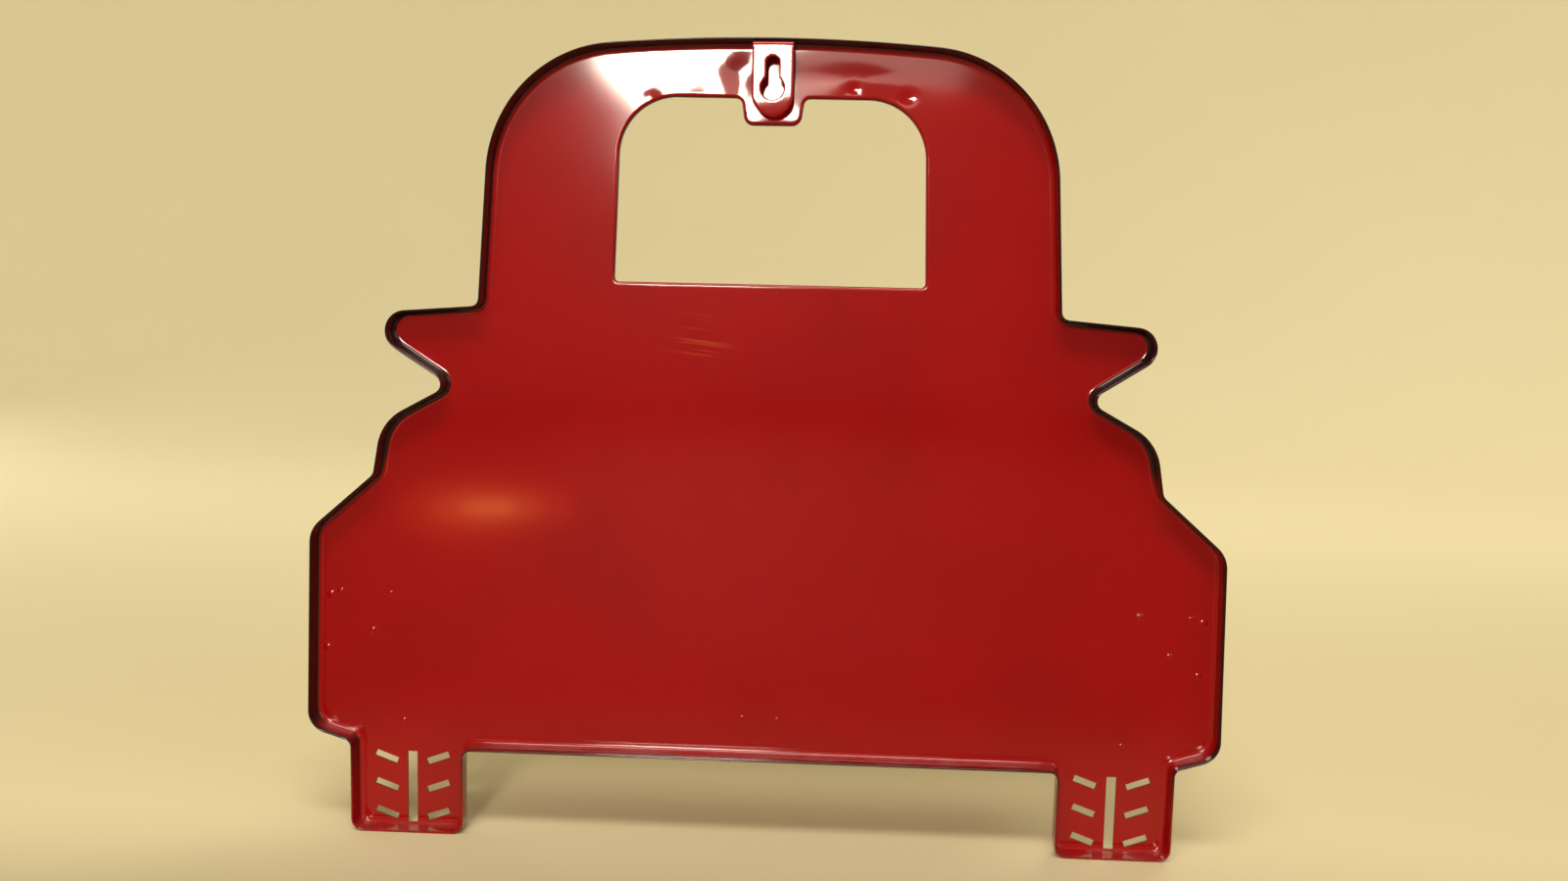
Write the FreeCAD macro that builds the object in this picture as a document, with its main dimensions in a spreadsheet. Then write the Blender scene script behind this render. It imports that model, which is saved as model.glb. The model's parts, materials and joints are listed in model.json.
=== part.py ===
import FreeCAD, Part
import Sketcher
import math
import os
import re

# A pressed steel wall pocket in the shape of an old pickup truck seen from behind.
# Millimetres. X runs across the truck, +Y points at the wall, +Z is up. The origin is the
# centre of the hanging hole, on the wall plane, which is also the plane of the rim's free edge.
# Heights in the table are measured from the tyres' bottom edge and the whole part is then
# lowered, so that the hanging hole lands on the origin.

os.makedirs("parts", exist_ok=True)
doc = FreeCAD.newDocument("TruckWallPocket")
vector = FreeCAD.Vector

sizes = {
    # sheet metal
    "sheetThick": 0.8,
    "rimDepth": 9,
    "rootRadius": 3,
    "seamGap": 0.1,
    # roof and cab
    "crownHeight": 323.2,
    "crownRadius": 765,
    "roofCornerX": 109.2,
    "roofCornerRadius": 53,
    "beltX": 115,
    "beltHeight": 218,
    "beltRadius": 3,
    # rail ends that stick out at the belt line
    "railTipX": 169.2,
    "railTipHeight": 213.6,
    "railTipRadius": 8.3,
    "notchX": 126.6,
    "notchHeight": 186.2,
    "notchRadius": 3.7,
    # fender crest, waist, shoulder and skirt
    "crestX": 154.2,
    "crestHeight": 171,
    "crestRadius": 20,
    "waistX": 157.8,
    "waistHeight": 149.4,
    "waistRadius": 4,
    "shoulderX": 184,
    "shoulderHeight": 126.3,
    "shoulderRadius": 12,
    "skirtX": 186,
    "skirtHeight": 43.5,
    "skirtRadius": 9.5,
    "skirtInnerHeight": 38,
    "sillHeight": 35.5,
    "sillRadius": 3,
    # tyres and the tread slots cut through them
    "tyreOuterX": 168.3,
    "tyreInnerX": 121.5,
    "tyreRadius": 5,
    "treadSlotWidth": 4,
    "treadSlotLow": 1.5,
    "treadSlotHigh": 32,
    "treadBarLength": 9.7,
    "treadBarWidth": 2.8,
    "treadBarTilt": 20,
    "treadBarReach": 10.8,
    "treadBarLow": 5.2,
    "treadBarPitch": 12.1,
    # rear window with its turned lip and the tab that stays behind the hanger
    "windowLow": 229,
    "windowHigh": 301.5,
    "windowLowX": 62,
    "windowHighX": 59.8,
    "windowLowRadius": 1.8,
    "windowHighRadius": 23,
    "tabRootX": 12.5,
    "tabX": 11,
    "tabHeight": 291,
    "tabRadius": 4,
    "tabRootRadius": 2.5,
    "lipDepth": 2,
    "lipBend": 0.4,
    # hanger plate with its keyhole
    "hangHoleHeight": 304.3,
    "hangHoleRadius": 4.55,
    "hangSlotWidth": 5.2,
    "hangSlotHeight": 316.2,
    "hangerWidth": 16,
    "hangerThick": 1.2,
    "hangerEndHeight": 293.7,
    "hangerFlange": 5.6,
    "hangerBend": 0.6,
    # tack welds that show as small pips on the wall side
    "pipRadius": 1.4,
    "pipTopRadius": 0.7,
    "pipProud": 0.4,
    "lampPipRadius": 11.5,
    "lampPipOuter": 25,
    "lampPipInner": 155,
    "lampPipLow": 283,
    "skirtPipX": 178,
    "skirtPipHigh": 98.4,
    "skirtPipLow": 75.6,
    "sillPipX": 148.7,
    "sillPipHeight": 45,
    "floorPipX": 7.2,
    "floorPipHeight": 51,
    # pocket, made as the truck's bed
    "pocketDepth": 60,
    "bedHalfWidth": 126,
    "bedBottom": 46,
    "bedTop": 206,
    "seamFlange": 12,
    "foldRadius": 2.4,
    "edgeFold": 7,
    "wireRadius": 1.6,
    "wireGap": 0.05,
    "wireInset": 1,
    # raised field and ribs of the tailgate
    "fieldMargin": 16,
    "fieldLow": 112,
    "fieldHigh": 192,
    "fieldRadius": 8,
    "fieldProud": 2.2,
    "fieldBend": 0.6,
    "ribMargin": 22,
    "ribWidth": 8,
    "ribProud": 2.2,
    "ribLow": 132,
    "ribPitch": 20,
    # fender shells
    "fenderGap": 1,
    "fenderInset": 4.5,
    "fenderDepth": 24,
    "fenderCrestRadius": 15,
    "fenderCornerRadius": 9,
    "fenderEdgeRadius": 5,
    # tail lamps
    "lampX": 163,
    "lampHeight": 94.4,
    "lampRadius": 11,
    "lampProud": 5,
    "lampHoleGap": 0.3,
    "bezelFlange": 2.6,
    "bezelDepth": 3.4,
    "lensSeat": 2,
    "lensCrown": 3.6,
    "lensGap": 0.15,
    # bumper bar, its brackets and bolts
    "bumperHalfWidth": 142,
    "bumperHeight": 58,
    "bumperTall": 17,
    "bumperDepth": 8,
    "bumperThick": 1.2,
    "bumperStandOff": 9,
    "bumperEndRadius": 7,
    "bumperEdgeRadius": 2.6,
    "bracketX": 78,
    "bracketWidth": 15,
    "bracketThick": 1.5,
    "bracketTall": 11.4,
    "boltRadius": 2,
    "boltHeadRadius": 4,
    "boltHeadTall": 2.2,
    "boltHoleGap": 0.1,
    "boltTail": 1.6,
    "nutRadius": 4.04,
    "nutTall": 3.2,
    # blank number plate and its rivets
    "plateHalfWidth": 34,
    "plateHeight": 89,
    "plateTall": 32,
    "plateThick": 1,
    "plateRadius": 4,
    "plateBorder": 2.4,
    "plateRecess": 0.4,
    "rivetX": 29,
    "rivetRadius": 1.2,
    "rivetHeadRadius": 2.4,
    "rivetHeadTall": 1.3,
    "rivetTail": 1,
}

sheet = doc.addObject("Spreadsheet::Sheet", "Size")
for row, (name, value) in enumerate(sizes.items(), start=1):
    sheet.set(f"A{row}", name)
    sheet.set(f"B{row}", str(value))
    sheet.setAlias(f"B{row}", name)
doc.recompute()

sides = {"left": -1, "right": 1}
subParts = []


def formula(text):
    """Point every size named in a formula at its cell in the table."""
    return re.sub(r"[a-z]\w+", lambda word: f"Size.{word[0]}" if word[0] in sizes else word[0], text)


def number(text):
    """Work a formula out as a plain number."""
    return float(sheet.evalExpression(formula(text)))


def bind(item, **bindings):
    for name, text in bindings.items():
        item.setExpression(name, formula(text))


def place(item, x="0", y="0", height="0"):
    """Set an object at x, y and a height above the tyres' bottom, by formula."""
    for axis, text in (("x", x), ("y", y), ("z", f"{height} - hangHoleHeight")):
        item.setExpression(f".Placement.Base.{axis}", formula(text))


def turn(item, axis, degrees):
    item.Placement.Rotation = FreeCAD.Rotation(axis, degrees)


def finish(item, label):
    """Name a finished sub-part."""
    item.Label = label
    subParts.append(item)


def feature(body, kind, name):
    return body.newObject(f"PartDesign::{kind}", name)


def rebuilt(item):
    """Rebuild the document and make sure that the newest feature worked."""
    doc.recompute()
    if "Invalid" in item.State or item.Shape.isNull():
        raise RuntimeError(f"{item.Name} did not build")
    return item


def mirrored(corners):
    """Corners of the right half, top to bottom, followed by their mirror images."""
    return corners + [(f"-({x})", z) for x, z in reversed(corners)]


def sketchOn(body, name, role="XZ_Plane"):
    sketch = body.newObject("Sketcher::SketchObject", name)
    origin = next(item for item in body.Origin.OriginFeatures if item.Role == role)
    sketch.AttachmentSupport = [(origin, "")]
    sketch.MapMode = "FlatFace"
    return sketch


def pin(sketch, curve, end, x, z):
    """Hold one end of a curve at a place given by two formulas."""
    for kind, text in (("DistanceX", x), ("DistanceY", z)):
        held = sketch.addConstraint(Sketcher.Constraint(kind, -1, 1, curve, end, number(text)))
        sketch.setExpression(f"Constraints[{held}]", formula(text))


def polygon(body, name, corners, role="XZ_Plane", crownRadius=None):
    """Closed outline with each corner held; a crown closes it with an arc instead of a line."""
    sketch = sketchOn(body, name, role)
    points = [vector(number(x), number(z), 0) for x, z in corners]
    count = len(points)
    for index in range(count if crownRadius is None else count - 1):
        sketch.addGeometry(Part.LineSegment(points[index], points[(index + 1) % count]), False)
    for index in range(count - 1 if crownRadius is None else count - 2):
        sketch.addConstraint(Sketcher.Constraint("Coincident", index, 2, index + 1, 1))
    if crownRadius is None:
        sketch.addConstraint(Sketcher.Constraint("Coincident", count - 1, 2, 0, 1))
    else:
        radius = number(crownRadius)
        first, last = points[0], points[-1]
        centre = vector(0, first.y - math.sqrt(radius ** 2 - first.x ** 2), 0)
        start = math.atan2(first.y - centre.y, first.x)
        stop = math.atan2(last.y - centre.y, last.x)
        crown = Part.ArcOfCircle(Part.Circle(centre, vector(0, 0, 1), radius), start, stop)
        arc = sketch.addGeometry(crown, False)
        sketch.addConstraint(Sketcher.Constraint("Coincident", arc, 1, 0, 1))
        sketch.addConstraint(Sketcher.Constraint("Coincident", count - 2, 2, arc, 2))
        held = sketch.addConstraint(Sketcher.Constraint("Radius", arc, radius))
        sketch.setExpression(f"Constraints[{held}]", formula(crownRadius))
    for index, (x, z) in enumerate(corners[:-1]):
        pin(sketch, index, 1, x, z)
    pin(sketch, count - 2, 2, *corners[-1])
    return sketch


def rectangle(body, name, halfWidth, low, high, x="0"):
    right, left = f"{x} + {halfWidth}", f"{x} - ({halfWidth})"
    return polygon(body, name, [(right, high), (right, low), (left, low), (left, high)])


def circle(body, name, x, z, radius):
    sketch = sketchOn(body, name)
    place3d = vector(number(x), number(z), 0)
    ring = sketch.addGeometry(Part.Circle(place3d, vector(0, 0, 1), number(radius)), False)
    pin(sketch, ring, 3, x, z)
    held = sketch.addConstraint(Sketcher.Constraint("Radius", ring, number(radius)))
    sketch.setExpression(f"Constraints[{held}]", formula(radius))
    return sketch


def pad(body, name, sketch, length):
    """Raise a sketch towards the front, away from the wall."""
    item = feature(body, "Pad", name)
    item.Profile = sketch
    bind(item, Length=length)
    return rebuilt(item)


def pocket(body, name, sketch):
    """Cut a sketch right through the body."""
    before = body.Tip.Shape.Volume
    item = feature(body, "Pocket", name)
    item.Profile = sketch
    item.Type = "ThroughAll"
    item.Midplane = True
    rebuilt(item)
    if item.Shape.Volume > before - 0.01:
        raise RuntimeError(f"{name} cuts nothing")
    return item


def shell(body, name, openFaces, thick):
    """Hollow the body to one thickness of sheet, inwards, leaving the given faces open."""
    base = body.Tip
    item = feature(body, "Thickness", name)
    item.Base = (base, openFaces)
    item.Reversed = True
    bind(item, Value=thick)
    return rebuilt(item)


def round_(body, name, edges, radius):
    base = body.Tip
    item = feature(body, "Fillet", name)
    item.Base = (base, edges)
    bind(item, Radius=radius)
    return rebuilt(item)


def depthEdges(body, corners):
    """Straight edges along Y that stand at the given corners."""
    spots = [(number(x), number(z)) for x, z in corners]
    found = []
    for index, edge in enumerate(body.Tip.Shape.Edges, start=1):
        box = edge.BoundBox
        if box.XLength + box.ZLength < 1e-4:
            if any(math.hypot(box.XMin - x, box.ZMin - z) < 0.01 for x, z in spots):
                found.append(f"Edge{index}")
    return found


def planeEdges(body, y, keep=lambda middle: True):
    """Edges that lie in the plane at y and whose middle passes the test."""
    found = []
    for index, edge in enumerate(body.Tip.Shape.Edges, start=1):
        box = edge.BoundBox
        if abs(box.YMin - y) + abs(box.YMax - y) < 1e-4 and keep(edge.CenterOfMass):
            found.append(f"Edge{index}")
    return found


def planeFaces(body, y, keep=lambda middle: True):
    found = []
    for index, face in enumerate(body.Tip.Shape.Faces, start=1):
        box = face.BoundBox
        if abs(box.YMin - y) + abs(box.YMax - y) < 1e-4 and keep(face.CenterOfMass):
            found.append(f"Face{index}")
    return found


def cylinderY(name, radius, length, x, y, height):
    """Cylinder along the depth, from y towards the front."""
    item = doc.addObject("Part::Cylinder", name)
    turn(item, vector(1, 0, 0), 90)
    bind(item, Radius=radius, Height=length)
    place(item, x, y, height)
    return item


def cylinderX(name, radius, halfLength, y, height):
    """Cylinder across the truck, centred on its middle."""
    item = doc.addObject("Part::Cylinder", name)
    turn(item, vector(0, 1, 0), 90)
    bind(item, Radius=radius, Height=f"2 * ({halfLength})")
    place(item, f"-({halfLength})", y, height)
    return item


def dome(name, radius, tall, x, y, height, towardsWall=False):
    """Spherical cap of a given base radius and height, its flat side at y."""
    item = doc.addObject("Part::Sphere", name)
    sphere = f"(({radius})^2 + ({tall})^2) / (2 * ({tall}))"
    sink = f"({sphere} - ({tall}))"
    turn(item, vector(1, 0, 0), -90 if towardsWall else 90)
    bind(item, Radius=sphere, Angle1=f"asin({sink} / ({sphere}))")
    place(item, x, f"{y} {'-' if towardsWall else '+'} {sink}", height)
    return item


def joined(name, items):
    whole = doc.addObject("Part::MultiFuse", name)
    whole.Shapes = items
    return whole


def cut(name, base, tool):
    whole = doc.addObject("Part::Cut", name)
    whole.Base = base
    whole.Tool = tool
    return whole


def group(name, items):
    """Several separate solids that share one node."""
    whole = doc.addObject("Part::Compound", name)
    whole.Links = items
    return whole


panelFront = "-rimDepth"
panelWallFace = "-rimDepth + sheetThick"
gateFront = "-rimDepth - pocketDepth"
fenderFront = "-rimDepth - fenderDepth"
roofCornerHeight = "crownHeight - crownRadius + sqrt(crownRadius^2 - roofCornerX^2)"


# ---- body panel: one sheet pressed into a shallow pan that opens towards the wall ----

outlineCorners = [
    ("roofCornerX", roofCornerHeight, "roofCornerRadius"),
    ("beltX", "beltHeight", "beltRadius"),
    ("railTipX", "railTipHeight", "railTipRadius"),
    ("notchX", "notchHeight", "notchRadius"),
    ("crestX", "crestHeight", "crestRadius"),
    ("waistX", "waistHeight", "waistRadius"),
    ("shoulderX", "shoulderHeight", "shoulderRadius"),
    ("skirtX", "skirtHeight", "skirtRadius"),
    ("tyreOuterX", "skirtInnerHeight", "sillRadius"),
    ("tyreOuterX", "0", "tyreRadius"),
    ("tyreInnerX", "0", "tyreRadius"),
    ("tyreInnerX", "sillHeight", "sillRadius"),
]
# the lip's outer face is one sheet thickness outside the opening
windowCorners = [
    ("windowLowX + sheetThick", "windowLow - sheetThick", "windowLowRadius + sheetThick"),
    ("windowHighX + sheetThick", "windowHigh + sheetThick", "windowHighRadius + sheetThick"),
    ("tabRootX - sheetThick", "windowHigh + sheetThick", "tabRootRadius + sheetThick"),
    ("tabX - sheetThick", "tabHeight + sheetThick", "tabRadius - sheetThick"),
]


def roundCorners(body, corners):
    for index, (x, z, radius) in enumerate(corners):
        round_(body, f"corner{index}_of_{body.Tip.Name}", depthEdges(body, mirrored([(x, z)])), radius)


def bodyPressing():
    body = doc.addObject("PartDesign::Body", "BodyPressing")
    outline = mirrored([corner[:2] for corner in outlineCorners])
    pad(body, "Blank", polygon(body, "TruckOutline", outline, crownRadius="crownRadius"), "rimDepth")
    roundCorners(body, outlineCorners)
    opening = mirrored([corner[:2] for corner in windowCorners])
    pad(body, "LipBoss", polygon(body, "WindowOutline", opening), "rimDepth + lipDepth")
    roundCorners(body, windowCorners)
    front, lipEdge = number(panelFront), number("-rimDepth - lipDepth")
    reach, low = number("windowLowX + 2 * sheetThick"), number("windowLow - 2 * sheetThick")

    def atWindow(middle):
        return abs(middle.x) < reach and low < middle.z < number("windowHigh + 2 * sheetThick")

    round_(body, "RimRoot", planeEdges(body, front, lambda middle: not atWindow(middle)), "rootRadius")
    round_(body, "LipBend", planeEdges(body, front, atWindow), "lipBend")
    shell(body, "PanelSheet", planeFaces(body, 0) + planeFaces(body, lipEdge), "sheetThick")
    return body


def treadSlots():
    """Cutters for the tread pattern: an upright slot with three slanted bars at each side of it."""
    cutters = []
    for side, sign in sides.items():
        middle = f"{sign} * (tyreOuterX + tyreInnerX) / 2"
        slot = doc.addObject("Part::Box", f"TreadSlot_{side}")
        bind(slot, Length="treadSlotWidth", Width="2 * rimDepth", Height="treadSlotHigh - treadSlotLow")
        bind(slot, **{".Placement.Base.x": f"{middle} - treadSlotWidth / 2"})
        bind(slot, **{".Placement.Base.y": "-1.5 * rimDepth", ".Placement.Base.z": "treadSlotLow"})
        cutters.append(slot)
        for bar, hand in enumerate((-1, 1)):
            for level in range(3):
                item = doc.addObject("Part::Box", f"TreadBar_{side}_{bar}_{level}")
                turn(item, vector(0, -hand, 0), sizes["treadBarTilt"])
                bind(item, Length="treadBarLength", Width="2 * rimDepth", Height="treadBarWidth")
                tilt = f"{hand} * treadBarTilt"
                alongX = f"treadBarLength / 2 * cos({tilt}) - treadBarWidth / 2 * sin({tilt})"
                alongZ = f"treadBarLength / 2 * sin({tilt}) + treadBarWidth / 2 * cos({tilt})"
                x = f"{middle} + {hand} * treadBarReach - ({alongX})"
                z = f"treadBarLow + {level} * treadBarPitch - ({alongZ})"
                bind(item, **{".Placement.Base.x": x, ".Placement.Base.y": "-1.5 * rimDepth"})
                bind(item, **{".Placement.Base.z": z, ".Placement.Rotation.Angle": "treadBarTilt"})
                cutters.append(item)
    return joined("TreadSlots", cutters)


bodyPanel = cut("BodyPanel", bodyPressing(), treadSlots())
place(bodyPanel)
finish(bodyPanel, "body_panel")


# ---- hanger plate: keyhole strip level with the rim, its flange welded under the crown ----

def hangerPlate():
    body = doc.addObject("PartDesign::Body", "HangerPlate")
    half = "hangerWidth / 2"
    top = "crownHeight - sheetThick - seamGap"
    endCentre = f"hangerEndHeight + {half}"
    pad(body, "Strip", rectangle(body, "StripOutline", half, endCentre, top), "hangerThick")
    pad(body, "RoundEnd", circle(body, "EndOutline", "0", endCentre, half), "hangerThick")
    flange = rectangle(body, "FlangeOutline", half, f"{top} - hangerThick", top)
    pad(body, "Flange", flange, "hangerFlange")
    inner = number(f"{top} - hangerThick")
    thick = -number("hangerThick")
    bend = planeEdges(body, thick, lambda middle: abs(middle.z - inner) < 0.01)
    round_(body, "InnerBend", bend, "hangerBend")
    outer = planeEdges(body, 0, lambda middle: abs(middle.z - number(top)) < 0.01)
    round_(body, "OuterBend", outer, "hangerThick")
    pocket(body, "HangHole", circle(body, "HangHoleOutline", "0", "hangHoleHeight", "hangHoleRadius"))
    slotEnd = "hangSlotHeight - hangSlotWidth / 2"
    slot = rectangle(body, "HangSlotOutline", "hangSlotWidth / 2", "hangHoleHeight", slotEnd)
    pocket(body, "HangSlot", slot)
    pocket(body, "HangSlotEnd", circle(body, "SlotEndOutline", "0", slotEnd, "hangSlotWidth / 2"))
    place(body)
    return body


finish(hangerPlate(), "hanger_plate")


# ---- weld pips: where the front pieces are tacked to the panel, seen on the wall side ----

def weldPips():
    spots = {"floor_left": ("-floorPipX", "floorPipHeight"), "floor_right": ("floorPipX", "floorPipHeight")}
    for side, sign in sides.items():
        spots[f"skirt_high_{side}"] = (f"{sign} * skirtPipX", "skirtPipHigh")
        spots[f"skirt_low_{side}"] = (f"{sign} * skirtPipX", "skirtPipLow")
        spots[f"sill_{side}"] = (f"{sign} * sillPipX", "sillPipHeight")
        for angle in ("lampPipOuter", "lampPipInner", "lampPipLow"):
            x = f"{sign} * (lampX + lampPipRadius * cos({angle}))"
            spots[f"{angle}_{side}"] = (x, f"lampHeight + lampPipRadius * sin({angle})")
    pips = []
    for name, (x, height) in spots.items():
        pip = doc.addObject("Part::Cone", f"Pip_{name}")
        turn(pip, vector(1, 0, 0), -90)
        bind(pip, Radius1="pipRadius", Radius2="pipTopRadius", Height="pipProud")
        place(pip, x, panelWallFace, height)
        pips.append(pip)
    return group("WeldPips", pips)


finish(weldPips(), "weld_pips")


# ---- pocket: tailgate tray, two side walls and a floor, all tacked to the panel's front ----

def tailgate():
    body = doc.addObject("PartDesign::Body", "TailgatePressing")
    depth = "seamFlange"
    edgeTop = "bedTop - (wireRadius + wireGap + sheetThick)"
    fieldHalf = "(bedHalfWidth - fieldMargin)"
    ribHalf = "(bedHalfWidth - fieldMargin - ribMargin)"
    tray = rectangle(body, "TrayOutline", "bedHalfWidth", "bedBottom", edgeTop)
    pad(body, "Tray", tray, depth)
    lowCorners = mirrored([("bedHalfWidth", "bedBottom")])
    round_(body, "TrayCorners", depthEdges(body, lowCorners), "foldRadius + sheetThick")
    field = rectangle(body, "FieldOutline", fieldHalf, "fieldLow", "fieldHigh")
    pad(body, "Field", field, f"{depth} + fieldProud")
    fieldCorners = mirrored([(fieldHalf, "fieldLow"), (fieldHalf, "fieldHigh")])
    round_(body, "FieldCorners", depthEdges(body, fieldCorners), "fieldRadius")
    for index in range(3):
        middle = f"ribLow + {index} * ribPitch"
        low, high = f"{middle} - ribWidth / 2", f"{middle} + ribWidth / 2"
        outline = rectangle(body, f"RibOutline{index}", ribHalf, low, high)
        pad(body, f"Rib{index}", outline, f"{depth} + fieldProud + ribProud")
        ends = mirrored([(ribHalf, low), (ribHalf, high)])
        round_(body, f"RibEnds{index}", depthEdges(body, ends), "ribWidth / 2 - sheetThick / 4")
    flat, raised = -number(depth), -number(f"{depth} + fieldProud")
    crest = -number(f"{depth} + fieldProud + ribProud")
    top, reach = number(edgeTop), number(f"{fieldHalf} + sheetThick")
    low, high = number("fieldLow - sheetThick"), number("fieldHigh + sheetThick")

    def isTray(middle):
        return (abs(middle.x) > reach or middle.z < low) and middle.z < top - 0.01

    def isField(middle):
        return abs(middle.x) < reach and low < middle.z < high

    round_(body, "TrayFold", planeEdges(body, flat, isTray), "foldRadius")
    round_(body, "FieldRoot", planeEdges(body, flat, isField), "fieldBend")
    round_(body, "RibCrest", planeEdges(body, crest), "fieldBend + sheetThick")
    ribReach = number(ribHalf) + 0.01
    ribsLow = number("ribLow - ribWidth / 2") - 0.01
    ribsHigh = number("ribLow + 2 * ribPitch + ribWidth / 2") + 0.01

    def isRib(middle):
        return abs(middle.x) < ribReach and ribsLow < middle.z < ribsHigh

    round_(body, "RibRoot", planeEdges(body, raised, isRib), "fieldBend")
    round_(body, "FieldRim", planeEdges(body, raised, lambda middle: not isRib(middle)),
           "fieldBend + sheetThick")
    openFaces = planeFaces(body, 0)
    for index, face in enumerate(body.Tip.Shape.Faces, start=1):
        box = face.BoundBox
        if abs(box.ZMin - top) + abs(box.ZMax - top) < 1e-4:
            openFaces.append(f"Face{index}")
    shell(body, "TailgateSheet", openFaces, "sheetThick")
    place(body, y=f"{gateFront} + {depth}")
    return body


hemRadius = "(wireRadius + wireGap + sheetThick)"
hemY = f"{gateFront} + sheetThick - {hemRadius}"
hemHeight = f"bedTop - {hemRadius}"


def tailgateWhole():
    """The tray with its rolled top hem, drilled for the two plate rivets."""
    roll = cylinderX("HemRoll", hemRadius, "bedHalfWidth", hemY, hemHeight)
    body = joined("TailgateAndHem", [tailgate(), roll])
    bore = cylinderX("HemBore", "wireRadius + wireGap", "bedHalfWidth + 1", hemY, hemHeight)
    tools = [bore]
    for side, sign in sides.items():
        hole = cylinderY(f"PlateHole_{side}", "rivetRadius + seamGap / 2", "6 * sheetThick",
                         f"{sign} * rivetX", f"{gateFront} + 3 * sheetThick", "plateHeight")
        tools.append(hole)
    return cut("Tailgate", body, joined("TailgateTools", tools))


finish(tailgateWhole(), "tailgate")
finish(cylinderX("HemWire", "wireRadius", "bedHalfWidth - wireInset", hemY, hemHeight), "hem_wire")


def bedSide(side, sign):
    """Side wall with a folded safe edge on top and a flange turned in against the panel."""
    body = doc.addObject("PartDesign::Body", f"BedSide_{side}")
    outer = "bedHalfWidth - sheetThick - seamGap"
    inner = f"{outer} - sheetThick"
    fold = f"{outer} + sheetThick"
    low = "bedBottom + foldRadius + sheetThick"
    underHem = f"bedTop - 2 * {hemRadius} - seamGap"
    foldLow = "bedTop - edgeFold"

    def section(name, corners):
        return polygon(body, name, [(f"{sign} * ({x})", z) for x, z in corners])

    wall = section("WallSection", [(outer, underHem), (outer, low), (inner, low), (inner, underHem)])
    pad(body, "Wall", wall, "pocketDepth - foldRadius - seamGap")
    edge = section("EdgeSection", [(fold, "bedTop"), (fold, foldLow), (outer, foldLow),
                                   (outer, underHem), (inner, underHem), (inner, "bedTop")])
    pad(body, "SafeEdge", edge, "pocketDepth - seamFlange - seamGap")
    flange = section("FlangeSection", [(outer, foldLow), (outer, low), (f"{outer} - seamFlange", low),
                                       (f"{outer} - seamFlange", foldLow)])
    pad(body, "Flange", flange, "sheetThick")
    place(body, y=panelFront)
    return body


def bedFloor():
    """Floor with a flange turned up against the panel, between the side walls' flanges."""
    body = doc.addObject("PartDesign::Body", "BedFloor")
    half = "bedHalfWidth - foldRadius - sheetThick"
    low = "bedBottom + sheetThick + seamGap"
    plate = rectangle(body, "FloorSection", half, low, f"{low} + sheetThick")
    pad(body, "Plate", plate, "pocketDepth - foldRadius - seamGap")
    narrow = "bedHalfWidth - 2 * sheetThick - seamFlange - 4 * seamGap"
    flange = rectangle(body, "FlangeSection", narrow, low, f"{low} + seamFlange")
    pad(body, "Flange", flange, "sheetThick")
    place(body, y=panelFront)
    return body


for side, sign in sides.items():
    finish(bedSide(side, sign), f"bed_side_{side}")
finish(bedFloor(), "bed_floor")


# ---- fenders: drawn shells outside the bed, each with a hole that its lamp passes through ----

def fender(side, sign):
    body = doc.addObject("PartDesign::Body", f"FenderPressing_{side}")
    inner = "bedHalfWidth + fenderGap"
    corners = [
        (inner, "notchHeight - 2 * fenderInset"),
        ("crestX - fenderInset", "crestHeight - fenderInset"),
        ("waistX - fenderInset", "waistHeight - fenderInset / 2"),
        ("shoulderX - fenderInset", "shoulderHeight - fenderInset / 2"),
        ("skirtX - fenderInset", "skirtHeight + fenderInset"),
        (inner, "skirtHeight + fenderInset"),
    ]
    placed = [(f"{sign} * ({x})", z) for x, z in corners]
    pad(body, "Blank", polygon(body, "FenderOutline", placed), "fenderDepth")
    for index, radius in ((1, "fenderCrestRadius"), (2, "waistRadius"), (3, "shoulderRadius"),
                          (4, "fenderCornerRadius")):
        round_(body, f"FenderCorner{index}", depthEdges(body, [placed[index]]), radius)
    round_(body, "FenderEdge", planeEdges(body, -number("fenderDepth")), "fenderEdgeRadius")
    shell(body, "FenderSheet", planeFaces(body, 0), "sheetThick")
    place(body, y=panelFront)
    hole = cylinderY(f"LampHole_{side}", "lampRadius + lampHoleGap", "4 * sheetThick",
                     f"{sign} * lampX", f"{fenderFront} + 2 * sheetThick", "lampHeight")
    return cut(f"Fender_{side}", body, hole)


# ---- tail lamps: a tube from the panel through the fender, a flanged bezel and a domed lens ----

lampMouth = f"{fenderFront} - lampProud"
lensRadius = "lampRadius - 2 * sheetThick - lensGap"


def lampHousing(side, sign):
    """Tube open at both ends, with a thin wall across it behind the lens."""
    x = f"{sign} * lampX"
    length = "fenderDepth + lampProud"
    tube = cylinderY(f"LampTube_{side}", "lampRadius", length, x, panelFront, "lampHeight")
    seat = f"{lampMouth} + bezelDepth + lensSeat"
    hollow = cylinderY(f"LampHollow_{side}", "lampRadius - sheetThick", "bezelDepth + 2 * lensSeat",
                       x, seat, "lampHeight")
    coreLength = f"{length} - bezelDepth - 2 * lensSeat + 2 * sheetThick"
    core = cylinderY(f"LampCore_{side}", "lampRadius - sheetThick", coreLength, x, panelWallFace,
                     "lampHeight")
    return cut(f"LampHousing_{side}", tube, joined(f"LampInside_{side}", [hollow, core]))


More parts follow.
